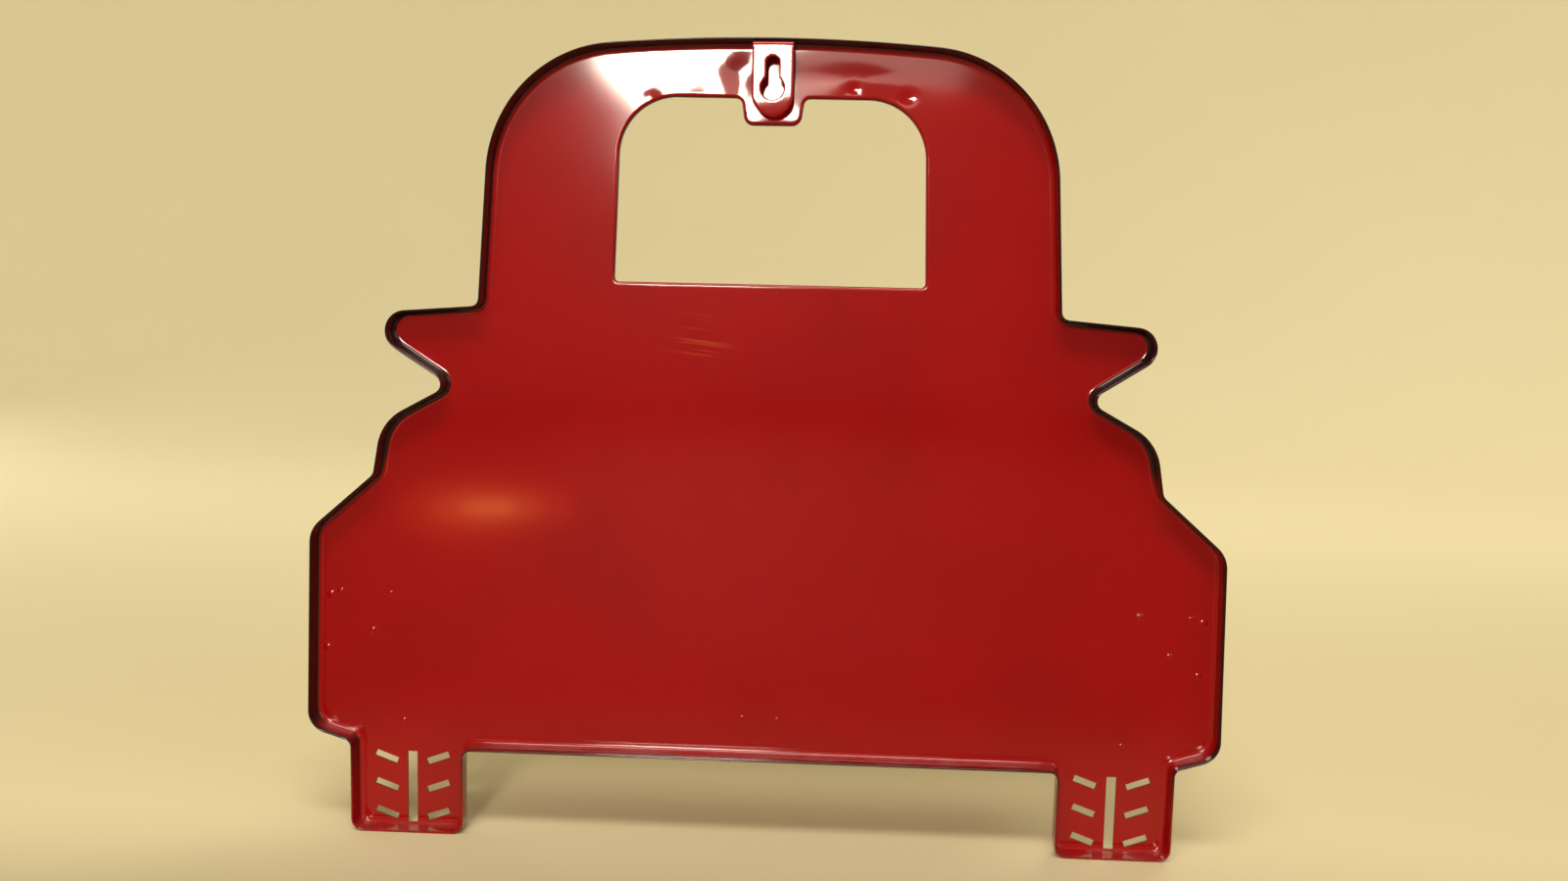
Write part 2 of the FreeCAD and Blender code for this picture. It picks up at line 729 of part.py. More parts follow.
def lampBezel(side, sign):
    """Ring whose flange lands on the tube's mouth and whose skirt slides over the tube."""
    x = f"{sign} * lampX"
    outside = doc.addObject("Part::Cone", f"BezelOutside_{side}")
    turn(outside, vector(1, 0, 0), 90)
    bind(outside, Radius1="lampRadius + bezelFlange", Radius2="lampRadius + sheetThick")
    bind(outside, Height="bezelDepth")
    place(outside, x, f"{lampMouth} - sheetThick + bezelDepth", "lampHeight")
    skirt = cylinderY(f"BezelSkirt_{side}", "lampRadius + seamGap", "bezelDepth",
                      x, f"{lampMouth} + bezelDepth", "lampHeight")
    mouth = cylinderY(f"BezelMouth_{side}", "lampRadius - 2 * sheetThick", "2 * bezelDepth",
                      x, f"{lampMouth} + bezelDepth", "lampHeight")
    return cut(f"LampBezel_{side}", outside, joined(f"BezelInside_{side}", [skirt, mouth]))


def lampLens(side, sign):
    """Domed lens that looks out through the bezel, with a foot held behind the bezel's lip."""
    x = f"{sign} * lampX"
    foot = cylinderY(f"LensFoot_{side}", "lampRadius - sheetThick - lensGap", "lensSeat",
                     x, f"{lampMouth} + lensSeat", "lampHeight")
    neck = cylinderY(f"LensNeck_{side}", lensRadius, "lensSeat + sheetThick",
                     x, f"{lampMouth} + lensSeat", "lampHeight")
    crown = dome(f"LensCrown_{side}", lensRadius, "lensCrown", x, f"{lampMouth} - sheetThick", "lampHeight")
    return joined(f"LampLens_{side}", [foot, neck, crown])


for side, sign in sides.items():
    finish(fender(side, sign), f"fender_{side}")
    finish(lampHousing(side, sign), f"lamp_housing_{side}")
    finish(lampBezel(side, sign), f"lamp_bezel_{side}")
    finish(lampLens(side, sign), f"lamp_lens_{side}")


# ---- bumper: a channel bar bolted to two brackets that stand on the tailgate ----

bumperFront = f"{gateFront} - bumperStandOff - bumperDepth"
bumperInner = f"{bumperFront} + bumperThick"
boltHole = "boltRadius + boltHoleGap"


def bumperBar():
    body = doc.addObject("PartDesign::Body", "BumperPressing")
    low, high = "bumperHeight - bumperTall / 2", "bumperHeight + bumperTall / 2"
    pad(body, "Blank", rectangle(body, "BumperOutline", "bumperHalfWidth", low, high), "bumperDepth")
    ends = mirrored([("bumperHalfWidth", low), ("bumperHalfWidth", high)])
    round_(body, "BumperEnds", depthEdges(body, ends), "bumperEndRadius")
    round_(body, "BumperEdge", planeEdges(body, -number("bumperDepth")), "bumperEdgeRadius")
    shell(body, "BumperSheet", planeFaces(body, 0), "bumperThick")
    place(body, y=f"{bumperFront} + bumperDepth")
    holes = []
    for side, sign in sides.items():
        holes.append(cylinderY(f"BumperHole_{side}", boltHole, "3 * bumperThick", f"{sign} * bracketX",
                               f"{bumperInner} + bumperThick", "bumperHeight"))
    return cut("Bumper", body, joined("BumperHoles", holes))


def bumperBracket(side, sign):
    """Z-shaped strap: foot up the tailgate, web forward, face against the inside of the bumper."""
    x = f"{sign} * bracketX"
    body = doc.addObject("PartDesign::Body", f"BracketFold_{side}")
    low, high = "bumperHeight - bracketTall / 2", "bumperHeight + bracketTall / 2"
    reach = "bumperStandOff + bumperDepth - bumperThick"
    foot = rectangle(body, "FootOutline", "bracketWidth / 2", low, f"{high} + bracketTall / 2", x)
    pad(body, "Foot", foot, "bracketThick")
    web = rectangle(body, "WebOutline", "bracketWidth / 2", low, f"{low} + bracketThick", x)
    pad(body, "Web", web, reach)
    place(body, y=gateFront)
    face = doc.addObject("Part::Box", f"BracketFace_{side}")
    bind(face, Length="bracketWidth", Width="bracketThick", Height="bracketTall")
    place(face, f"{x} - bracketWidth / 2", bumperInner, low)
    hole = cylinderY(f"BracketHole_{side}", boltHole, "3 * bracketThick", x,
                     f"{bumperInner} + 2 * bracketThick", "bumperHeight")
    return cut(f"Bracket_{side}", joined(f"BracketStrap_{side}", [body, face]), hole)


def bumperBolts():
    bolts = []
    for side, sign in sides.items():
        x = f"{sign} * bracketX"
        head = dome(f"BoltHead_{side}", "boltHeadRadius", "boltHeadTall", x, bumperFront, "bumperHeight")
        length = "bumperThick + bracketThick + nutTall + boltTail"
        shank = cylinderY(f"BoltShank_{side}", "boltRadius", length, x,
                          f"{bumperFront} + {length}", "bumperHeight")
        bolts.append(joined(f"Bolt_{side}", [head, shank]))
    return group("BumperBolts", bolts)


def bumperNuts():
    nuts = []
    for side, sign in sides.items():
        x = f"{sign} * bracketX"
        seat = f"{bumperInner} + bracketThick"
        hexagon = doc.addObject("Part::Prism", f"NutBlank_{side}")
        turn(hexagon, vector(1, 0, 0), 90)
        bind(hexagon, Circumradius="nutRadius", Height="nutTall")
        place(hexagon, x, f"{seat} + nutTall", "bumperHeight")
        thread = cylinderY(f"NutThread_{side}", "boltRadius", "2 * nutTall", x,
                           f"{seat} + 1.5 * nutTall", "bumperHeight")
        nuts.append(cut(f"Nut_{side}", hexagon, thread))
    return group("BumperNuts", nuts)


finish(bumperBar(), "bumper")
for side, sign in sides.items():
    finish(bumperBracket(side, sign), f"bumper_bracket_{side}")
finish(bumperBolts(), "bumper_bolts")
finish(bumperNuts(), "bumper_nuts")


# ---- blank number plate, riveted to the tailgate under the raised field ----

def numberPlate():
    body = doc.addObject("PartDesign::Body", "PlateStamping")
    low, high = "plateHeight - plateTall / 2", "plateHeight + plateTall / 2"
    pad(body, "Blank", rectangle(body, "PlateOutline", "plateHalfWidth", low, high), "plateThick")
    ends = mirrored([("plateHalfWidth", low), ("plateHalfWidth", high)])
    round_(body, "PlateCorners", depthEdges(body, ends), "plateRadius")
    place(body, y=gateFront)
    tools = [doc.addObject("Part::Box", "PlateField")]
    bind(tools[0], Length="2 * (plateHalfWidth - plateBorder)", Width="plateThick")
    bind(tools[0], Height="plateTall - 2 * plateBorder")
    place(tools[0], "plateBorder - plateHalfWidth", f"{gateFront} - 2 * plateThick + plateRecess",
          f"{low} + plateBorder")
    for side, sign in sides.items():
        tools.append(cylinderY(f"PlateBore_{side}", "rivetRadius + seamGap / 2", "3 * plateThick",
                               f"{sign} * rivetX", f"{gateFront} + plateThick", "plateHeight"))
    return cut("NumberPlate", body, joined("PlateTools", tools))


def plateRivets():
    rivets = []
    for side, sign in sides.items():
        x = f"{sign} * rivetX"
        seat = f"{gateFront} - plateThick + plateRecess"
        head = dome(f"RivetHead_{side}", "rivetHeadRadius", "rivetHeadTall", x, seat, "plateHeight")
        length = "plateThick - plateRecess + sheetThick"
        shank = cylinderY(f"RivetShank_{side}", "rivetRadius", length, x,
                          f"{seat} + {length}", "plateHeight")
        tail = dome(f"RivetTail_{side}", "rivetHeadRadius", "rivetTail", x,
                    f"{gateFront} + sheetThick", "plateHeight", towardsWall=True)
        rivets.append(joined(f"Rivet_{side}", [head, shank, tail]))
    return group("PlateRivets", rivets)


finish(numberPlate(), "number_plate")
finish(plateRivets(), "plate_rivets")


# ---- every feature and every sub-part is tested, then written out ----

doc.recompute()
for item in doc.Objects:
    if {"Invalid", "Error"} & set(item.State):
        raise RuntimeError(f"{item.Label} did not build: {item.State}")
for item in subParts:
    shape = item.Shape
    if shape.isNull() or not shape.isValid() or not shape.Solids:
        raise RuntimeError(f"{item.Label} has no sound solid")
    shape.exportStep(f"parts/{item.Label}.step")
    box = shape.optimalBoundingBox(False)
    print(f"{item.Label:22s} solids {len(shape.Solids):2d}  volume {shape.Volume / 1000:8.2f} cm3"
          f"  y {box.YMin:7.2f} to {box.YMax:6.2f}  z {box.ZMin:7.2f} to {box.ZMax:7.2f}")
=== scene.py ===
import json
import math
import bpy
import bmesh
from mathutils import Matrix, Vector
from mathutils.geometry import delaunay_2d_cdt
from mathutils.kdtree import KDTree


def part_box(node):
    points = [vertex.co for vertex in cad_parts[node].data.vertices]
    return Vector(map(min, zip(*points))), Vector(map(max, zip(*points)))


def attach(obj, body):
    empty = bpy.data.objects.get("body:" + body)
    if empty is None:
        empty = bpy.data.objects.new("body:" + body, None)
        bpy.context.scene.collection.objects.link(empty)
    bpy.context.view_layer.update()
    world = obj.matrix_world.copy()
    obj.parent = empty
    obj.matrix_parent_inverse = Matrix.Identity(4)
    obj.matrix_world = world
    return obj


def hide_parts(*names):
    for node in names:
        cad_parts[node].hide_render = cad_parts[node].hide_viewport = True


# A pressed steel wall pocket shaped like the tail of an old pickup truck, seen from its wall side.
# X runs across the truck, +Y points at the wall, +Z is up. Heights in the dictionaries are
# millimetres above the tyres' bottom edge.

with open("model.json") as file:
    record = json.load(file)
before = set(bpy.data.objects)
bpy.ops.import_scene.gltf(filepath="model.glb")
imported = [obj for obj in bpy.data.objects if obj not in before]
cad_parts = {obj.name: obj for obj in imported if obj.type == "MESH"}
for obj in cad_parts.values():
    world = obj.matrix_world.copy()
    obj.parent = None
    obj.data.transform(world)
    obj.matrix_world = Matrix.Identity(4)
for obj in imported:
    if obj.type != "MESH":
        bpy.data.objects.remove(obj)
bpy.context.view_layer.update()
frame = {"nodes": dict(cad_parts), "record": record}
mm = 0.001
sheetCrease, turnedCrease = math.radians(38), math.radians(40)
anyTurn = 6.28
rowStep, edgeClearance = 0.87, 0.62       # of a grid's spacing
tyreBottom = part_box("body_panel")[0].z
scene = bpy.context.scene


def atHeight(height):
    return tyreBottom + height * mm


def keepOnRoot(piece, node):
    # every piece hangs on the one rigid body
    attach(piece, "root")
    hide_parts(node)


def meshPiece(name, vertices, faces):
    mesh = bpy.data.meshes.new(name)
    mesh.from_pydata(vertices, [], faces)
    mesh.validate()
    mesh.shade_smooth()
    piece = bpy.data.objects.new(name, mesh)
    scene.collection.objects.link(piece)
    return piece


def turnOutwards(mesh):
    # weld doubles, then point every face of the closed shell out
    shell = bmesh.new()
    shell.from_mesh(mesh)
    bmesh.ops.remove_doubles(shell, verts=shell.verts, dist=1e-7)
    bmesh.ops.recalc_face_normals(shell, faces=shell.faces)
    loose = [e for e in shell.edges if len(e.link_faces) != 2]
    if loose:
        print(mesh.name, "has", len(loose), "open edges")
    shell.to_mesh(mesh)
    shell.free()


def clamp(value, low=0.0, high=1.0):
    return max(low, min(high, value))


def smoothStep(low, high, value):
    t = clamp((value - low) / (high - low))
    return t * t * (3 - 2 * t)


def newMaterial(name, **settings):
    # a Principled material whose plain numbers sit on the shader's own sockets, and the place on it
    material = bpy.data.materials.new(name)
    material.use_nodes = True
    tree = material.node_tree
    shader = tree.nodes["Principled BSDF"]
    for socket, value in settings.items():
        shader.inputs[socket.replace("_", " ")].default_value = value
    place = tree.nodes.new("ShaderNodeTexCoord").outputs["Object"]
    return material, tree, shader, place


def addNode(tree, kind, inputs=None, **settings):
    # a node whose inputs are linked where a socket is given, and set where a value is
    node = tree.nodes.new(kind)
    for key, value in settings.items():
        setattr(node, key, value)
    for socket, value in (inputs or {}).items():
        if isinstance(value, bpy.types.NodeSocket):
            tree.links.new(value, node.inputs[socket])
        else:
            node.inputs[socket].default_value = value
    return node


def calc(tree, operation, first, second=0.0, third=0.0, clampIt=False):
    return addNode(tree, "ShaderNodeMath", {0: first, 1: second, 2: third}, operation=operation,
                   use_clamp=clampIt).outputs[0]


def product(tree, first, *others):
    for other in others:
        first = calc(tree, "MULTIPLY", first, other)
    return first


def vectorMath(tree, operation, first, second=(0, 0, 0)):
    node = addNode(tree, "ShaderNodeVectorMath", {0: first, 1: second}, operation=operation)
    return node.outputs["Value" if operation in ("LENGTH", "DOT_PRODUCT") else "Vector"]


def spread(tree, value, low, high, outLow=0.0, outHigh=1.0):
    # smooth ramp of a value between two levels
    return addNode(tree, "ShaderNodeMapRange", {"Value": value, "From Min": low, "From Max": high,
                                                "To Min": outLow, "To Max": outHigh},
                   interpolation_type="SMOOTHSTEP").outputs["Result"]


def noise(tree, place, scale, detail, roughness=0.5):
    return addNode(tree, "ShaderNodeTexNoise", {"Vector": place, "Scale": scale, "Detail": detail,
                                                "Roughness": roughness}).outputs["Fac"]


def blendColour(tree, mask, first, second):
    return addNode(tree, "ShaderNodeMix", {0: mask, 6: first, 7: second}, data_type="RGBA").outputs[2]


def surfaceNormal(tree):
    return addNode(tree, "ShaderNodeNewGeometry").outputs["Normal"]


def axesOf(tree, vector):
    return addNode(tree, "ShaderNodeSeparateXYZ", {0: vector}).outputs


def feed(tree, shader, socket, value):
    tree.links.new(value, shader.inputs[socket])


def relief(tree, shader, strength, depth, height):
    # fine unevenness of the surface, its depth in millimetres
    bump = addNode(tree, "ShaderNodeBump", {"Strength": strength, "Distance": depth * mm,
                                           "Height": height})
    feed(tree, shader, "Normal", bump.outputs["Normal"])


def newGroup(name, inputs, *outputs):
    # each group takes the place on the surface and inputs with their defaults, and puts out numbers
    group = bpy.data.node_groups.new(name, "ShaderNodeTree")
    group.interface.new_socket(name="Place", in_out="INPUT", socket_type="NodeSocketVector")
    for label, value in inputs.items():
        kind = "NodeSocketVector" if isinstance(value, tuple) else "NodeSocketFloat"
        group.interface.new_socket(name=label, in_out="INPUT", socket_type=kind).default_value = value
    for label in outputs:
        group.interface.new_socket(name=label, in_out="OUTPUT", socket_type="NodeSocketFloat")
    return group, group.nodes.new("NodeGroupInput").outputs, group.nodes.new("NodeGroupOutput").inputs


def useGroup(tree, group, **values):
    return addNode(tree, "ShaderNodeGroup", values, node_tree=group).outputs


def orangePeelGroup():
    # height of sprayed enamel: slow ripples, fine peel and a few specks of dust under the paint
    group, given, out = newGroup("orangePeel", {"Scale": 260.0, "Ripple": 0.6, "Specks": 0.5}, "Height")
    peel = noise(group, given["Place"], given["Scale"], 3.0, 0.45)
    ripple = product(group, noise(group, given["Place"], 45.0, 1.0), given["Ripple"])
    grains = addNode(group, "ShaderNodeTexVoronoi", {"Vector": given["Place"], "Scale": 130.0}).outputs
    chosen = addNode(group, "ShaderNodeTexWhiteNoise", {"Vector": grains["Position"]})
    rare = spread(group, chosen.outputs["Value"], 0.955, 0.965)
    specks = product(group, spread(group, grains["Distance"], 0.07, 0.0), rare, given["Specks"])
    group.links.new(calc(group, "ADD", calc(group, "ADD", peel, ripple), specks), out["Height"])
    return group


def edgeGlazeGroup():
    # dark glaze wiped over the edges, and bare chips on the sharpest of them
    group, given, out = newGroup("edgeGlaze", {"Reach": 0.0016, "Amount": 0.8, "Chips": 0.3},
                                 "Glaze Mask", "Chip Mask")
    wide = addNode(group, "ShaderNodeBevel", {"Radius": given["Reach"]}, samples=6).outputs[0]
    bent = vectorMath(group, "DOT_PRODUCT", wide, surfaceNormal(group))
    wander = spread(group, noise(group, given["Place"], 90.0, 5.0), 0.3, 0.7, 0.5, 1.5)
    uneven = product(group, calc(group, "SUBTRACT", 1.0, bent), wander)
    fine = spread(group, noise(group, given["Place"], 420.0, 4.0), 0.6, 0.66)
    glaze = product(group, spread(group, uneven, 0.01, 0.13), given["Amount"])
    group.links.new(glaze, out["Glaze Mask"])
    chip = product(group, spread(group, uneven, 0.12, 0.22), fine, given["Chips"])
    group.links.new(chip, out["Chip Mask"])
    return group


def settledDustGroup():
    # thin grey dust on whatever faces up
    group, given, out = newGroup("settledDust", {"Amount": 0.3}, "Mask")
    upward = spread(group, axesOf(group, surfaceNormal(group))["Z"], 0.35, 0.95)
    patchy = spread(group, noise(group, given["Place"], 60.0, 6.0, 0.65), 0.35, 0.75)
    group.links.new(product(group, upward, patchy, given["Amount"]), out["Mask"])
    return group


def rubbedGroup():
    # fine scratches that run one way inside a soft-edged patch
    group, given, out = newGroup("rubbedPatch", {"Centre": (0, 0, 0), "Size": (0.03, 0.02, 0.01),
                                                 "Tilt": 0.0, "Fineness": 900.0}, "Mask")
    fromCentre = vectorMath(group, "SUBTRACT", given["Place"], given["Centre"])
    turned = addNode(group, "ShaderNodeVectorRotate", {"Vector": fromCentre, "Angle": given["Tilt"]},
                     rotation_type="Y_AXIS").outputs[0]
    away = vectorMath(group, "LENGTH", vectorMath(group, "DIVIDE", turned, given["Size"]))
    stretched = vectorMath(group, "MULTIPLY", turned, (0.035, 1.0, 1.0))
    scratch = spread(group, noise(group, stretched, given["Fineness"], 4.0), 0.52, 0.68)
    group.links.new(product(group, spread(group, away, 1.0, 0.0), scratch), out["Mask"])
    return group


def drawnGrainGroup():
    # long fine grain of drawn or brushed metal along one axis
    group, given, out = newGroup("drawnGrain", {"Along": (0.02, 1.0, 1.0), "Fineness": 1200.0}, "Value")
    stretched = vectorMath(group, "MULTIPLY", given["Place"], given["Along"])
    group.links.new(noise(group, stretched, given["Fineness"], 5.0, 0.6), out["Value"])
    return group


orangePeel = orangePeelGroup()
edgeGlaze = edgeGlazeGroup()
settledDust = settledDustGroup()
rubbedPatch = rubbedGroup()
drawnGrain = drawnGrainGroup()
print("shader groups ready")

enamelLook = {
    "red": (0.276, 0.0019, 0.0021, 1),
    "redDeep": (0.244, 0.0016, 0.0019, 1),
    "glaze": (0.012, 0.006, 0.005, 1),
    "bareSteel": (0.34, 0.31, 0.28, 1),
    "dust": (0.42, 0.38, 0.32, 1),
    "peelDepth": 0.05,
    "mottle": 14.0,
    "rough": 0.42,
    "wear": {                             # dust, edge glaze, chips, reach of the glaze in metres
        "redEnamel": (0.25, 0.8, 0.3, 0.0016),
        "panelEnamel": (0.1, 0.25, 0.15, 0.001),
        "hangerEnamel": (0.05, 0.5, 0.2, 0.0006),
        "pipEnamel": (0.05, 0.0, 0.0, 0.0006),
    },
}


def wearEdges(tree, place, colour, reach, glaze, chips, glazeColour=enamelLook["glaze"]):
    edges = useGroup(tree, edgeGlaze, Place=place, Reach=reach, Amount=glaze, Chips=chips)
    colour = blendColour(tree, edges["Glaze Mask"], colour, glazeColour)
    return blendColour(tree, edges["Chip Mask"], colour, enamelLook["bareSteel"])


def dustOver(tree, shader, place, colour, amount):
    dusty = useGroup(tree, settledDust, Place=place, Amount=amount)["Mask"]
    feed(tree, shader, "Base Color", blendColour(tree, dusty, colour, enamelLook["dust"]))
    return dusty


def startEnamel(name):
    # sprayed red enamel with deeper and lighter clouds, glazed edges and orange peel
    material, tree, shader, place = newMaterial(name, Specular_IOR_Level=0.04, Coat_Weight=1.0,
                                                Coat_Roughness=0.085, Coat_IOR=1.42)
    cloud = spread(tree, noise(tree, place, enamelLook["mottle"], 4.0, 0.55), 0.35, 0.7)
    colour = blendColour(tree, cloud, enamelLook["red"], enamelLook["redDeep"])
    glaze, chips, reach = enamelLook["wear"][name][1:]
    colour = wearEdges(tree, place, colour, reach, glaze, chips)
    relief(tree, shader, 0.35, enamelLook["peelDepth"], useGroup(tree, orangePeel, Place=place)["Height"])
    return material, tree, shader, place, colour


def finishEnamel(material, shader, place, colour, extraRough=0.0):
    tree = material.node_tree
    dusty = dustOver(tree, shader, place, colour, enamelLook["wear"][material.name][0])
    rough = calc(tree, "MULTIPLY_ADD", dusty, 0.4, enamelLook["rough"])
    feed(tree, shader, "Roughness", calc(tree, "ADD", rough, extraRough, clampIt=True))
    return material


def redEnamel(name):
    material, tree, shader, place, colour = startEnamel(name)
    return finishEnamel(material, shader, place, colour)


panelLook = {
    "rimBlackAndShade": (0.010, 0.005, 0.004, 1),
    "shadeSide": (-0.75, 0.0, -0.66),     # rim walls that face this way get painted shade
    "darkest": 0.98,
    "edgeDepth": (-0.0038, -0.0016),      # where the dark line along the rim's edge starts and is full
    "outerSkin": (0.0009, 0.0004),
    "fadeHeights": (8, 50),               # the legs keep their red
    "earAcross": (0.117, 0.123),          # the ears and fender crests, metres from the middle
    "earHeights": (146, 160),
    "tyreBlack": (0.014, 0.013, 0.013, 1),
    "tyreTop": 37.0,
    "tyreFace": (-0.0082, -0.0088),
    # the rubbed patch's lighter orange: partly worn enamel, partly a painted reflection of a warm light
    "scuffSheenColour": (0.62, 0.16, 0.035, 1),
    "scuffSheenStrength": 0.22,
    "rubCentre": (28.5, 207),             # across and up, millimetres
    "rubSize": (20, 30, 15),
    "rubTilt": math.radians(6),
}


def panelEnamel():
    # the panel's own enamel: rim dark with black edge paint and painted shade, black tyres on the front, a
    # rubbed patch on the wall side tinted partly by a painted reflection
    look = panelLook
    material, tree, shader, place, colour = startEnamel("panelEnamel")
    axes, normal = axesOf(tree, place), surfaceNormal(tree)
    shift = spread(tree, noise(tree, place, 70.0, 5.0, 0.6), 0.3, 0.7, -0.0011, 0.0011)
    # the ears and fender crests are dark all round; the other walls get painted shade by the way they face
    beside = spread(tree, calc(tree, "ABSOLUTE", axes["X"]), *look["earAcross"])
    above = spread(tree, axes["Z"], *map(atHeight, look["earHeights"]))
    ears = product(tree, beside, above, look["darkest"])
    shaded = vectorMath(tree, "DOT_PRODUCT", normal, look["shadeSide"])
    paintedShade = spread(tree, shaded, -0.35, 0.35, 0.15, look["darkest"])
    # how far the bend has turned before it is dark; earlier at the ears
    bendStart = calc(tree, "MULTIPLY_ADD", ears, 0.10, 0.88)
    bendEnd = calc(tree, "MULTIPLY_ADD", ears, 0.36, 0.50)
    steep = calc(tree, "ABSOLUTE", axesOf(tree, normal)["Y"])
    onWall = product(tree, spread(tree, steep, bendStart, bendEnd), calc(tree, "MAXIMUM", paintedShade, ears))
    onEdge = spread(tree, calc(tree, "ADD", axes["Y"], shift), *look["edgeDepth"])
    inset = addNode(tree, "ShaderNodeAttribute", attribute_name="inset").outputs["Fac"]
    outside = spread(tree, inset, *look["outerSkin"])
    low = spread(tree, axes["Z"], *map(atHeight, look["fadeHeights"]), 0.12, 1.0)
    # the rim's dark colour: black paint along the edge and outer skin, the ears dark all round, painted shade
    # on walls that face away from the light
    anyWall = calc(tree, "MAXIMUM", onWall, calc(tree, "MAXIMUM", onEdge, outside))
    colour = blendColour(tree, product(tree, anyWall, low), colour, look["rimBlackAndShade"])
    # tyres are sprayed black on the front only
    belowSill = spread(tree, calc(tree, "ADD", axes["Z"], shift), atHeight(look["tyreTop"] + 1.5),
                       atHeight(look["tyreTop"]))
    tyreMask = product(tree, spread(tree, axes["Y"], *look["tyreFace"]), belowSill)
    colour = blendColour(tree, tyreMask, colour, look["tyreBlack"])
    # the rubbed patch is scratched and rougher, and lighter orange: partly worn enamel, partly a painted
    # reflection of a warm light
    across, up = look["rubCentre"]
    rubAndSheen = useGroup(tree, rubbedPatch, Place=place, Centre=(across * mm, -0.0082, atHeight(up)),
                   Size=tuple(v * mm for v in look["rubSize"]), Tilt=look["rubTilt"])["Mask"]
    colour = blendColour(tree, product(tree, rubAndSheen, look["scuffSheenStrength"]), colour, look["scuffSheenColour"])
    extra = calc(tree, "ADD", product(tree, rubAndSheen, 0.15), product(tree, tyreMask, 0.2))
    matt = calc(tree, "SUBTRACT", 1.0, product(tree, tyreMask, 0.8))
    feed(tree, shader, "Coat Weight", matt)
    return finishEnamel(material, shader, place, colour, extra)


def metalMaterial(name, colour, roughness, along, fineness):
    # plated or drawn metal: long grain, faint stains, dulled edges
    material, tree, shader, place = newMaterial(name, Metallic=1.0)
    stain = spread(tree, noise(tree, place, 110.0, 6.0), 0.45, 0.75)
    darker = tuple(c * 0.6 for c in colour[:3]) + (1,)
    mixed = blendColour(tree, product(tree, stain, 0.35), colour, darker)
    dusty = dustOver(tree, shader, place, wearEdges(tree, place, mixed, 0.0007, 0.2, 0.0), 0.25)
    rough = calc(tree, "ADD", roughness, product(tree, stain, 0.12))
    feed(tree, shader, "Roughness", calc(tree, "ADD", rough, product(tree, dusty, 0.3), clampIt=True))
    grain = useGroup(tree, drawnGrain, Place=place, Along=along, Fineness=fineness)["Value"]
    relief(tree, shader, 0.15, 0.02, grain)
    return material


def silverEnamel():
    # silver paint with fine flakes, not bare metal
    material, tree, shader, place = newMaterial("silverEnamel", Metallic=0.75, Coat_Weight=0.4,
                                                Coat_Roughness=0.2)
    flakes = addNode(tree, "ShaderNodeTexVoronoi", {"Vector": place, "Scale": 2600.0})
    glint = addNode(tree, "ShaderNodeSeparateColor", {0: flakes.outputs["Color"]}).outputs
    base = blendColour(tree, glint[0], (0.36, 0.36, 0.35, 1), (0.60, 0.60, 0.58, 1))
    dustOver(tree, shader, place, wearEdges(tree, place, base, 0.0014, 0.85, 0.0), 0.3)
    feed(tree, shader, "Roughness", calc(tree, "MULTIPLY_ADD", glint[1], 0.12, 0.30))
    relief(tree, shader, 0.25, 0.04, useGroup(tree, orangePeel, Place=place, Specks=0.2)["Height"])
    return material


def blackEnamel():
    # satin black, greyed at the edges and chipped to the steel
    material, tree, shader, place = newMaterial("blackEnamel", Coat_Weight=0.3, Coat_Roughness=0.25)
    base = wearEdges(tree, place, (0.016, 0.016, 0.017, 1), 0.0010, 0.5, 0.8, (0.05, 0.045, 0.04, 1))
    dusty = dustOver(tree, shader, place, base, 0.35)
    feed(tree, shader, "Roughness", calc(tree, "MULTIPLY_ADD", dusty, 0.4, 0.38))
    relief(tree, shader, 0.4, 0.05, useGroup(tree, orangePeel, Place=place, Scale=420.0)["Height"])
    return material


def creamEnamel():
    # old cream paint, yellowed in clouds and worn at the raised border
    material, tree, shader, place = newMaterial("creamEnamel", Coat_Weight=0.5, Coat_Roughness=0.18)
    stain = spread(tree, noise(tree, place, 60.0, 6.0, 0.6), 0.4, 0.75)
    base = blendColour(tree, stain, (0.72, 0.66, 0.50, 1), (0.55, 0.44, 0.27, 1))
    base = wearEdges(tree, place, base, 0.0012, 0.85, 0.6, (0.10, 0.055, 0.03, 1))
    feed(tree, shader, "Base Color", base)
    feed(tree, shader, "Roughness", calc(tree, "MULTIPLY_ADD", stain, 0.15, 0.35))
    relief(tree, shader, 0.3, 0.05, useGroup(tree, orangePeel, Place=place)["Height"])
    return material


def redLens():
    # clear red plastic with faint flow marks and hairline scratches
    material, tree, shader, place = newMaterial("redLens", IOR=1.49, Transmission_Weight=0.55,
                                                Specular_IOR_Level=0.5)
    flow = spread(tree, noise(tree, place, 120.0, 3.0), 0.35, 0.7)
    feed(tree, shader, "Base Color", blendColour(tree, flow, (0.62, 0.012, 0.010, 1),
                                                 (0.42, 0.006, 0.006, 1)))
    dusty = useGroup(tree, settledDust, Place=place, Amount=0.4)["Mask"]
    hair = useGroup(tree, drawnGrain, Place=place, Along=(1.0, 1.0, 0.05), Fineness=700.0)["Value"]
    worn = product(tree, spread(tree, hair, 0.6, 0.7), 0.15)
    rough = calc(tree, "MULTIPLY_ADD", dusty, 0.5, 0.07)
    feed(tree, shader, "Roughness", calc(tree, "ADD", rough, worn, clampIt=True))
    relief(tree, shader, 0.1, 0.02, hair)
    return material


materials = {
    "red_enamel": redEnamel("redEnamel"),
    "panel": panelEnamel(),
    "hanger": redEnamel("hangerEnamel"),
    "pip": redEnamel("pipEnamel"),
    "black_enamel": blackEnamel(),
    "silver_enamel": silverEnamel(),
    "cream_enamel": creamEnamel(),
    "plated_trim": metalMaterial("platedTrim", (0.78, 0.78, 0.77, 1), 0.10, (1, 1, 1), 300.0),
    "bare_steel": metalMaterial("bareSteel", (0.50, 0.49, 0.47, 1), 0.28, (0.02, 1, 1), 1400.0),
    "red_lens": redLens(),
}
print("materials ready")

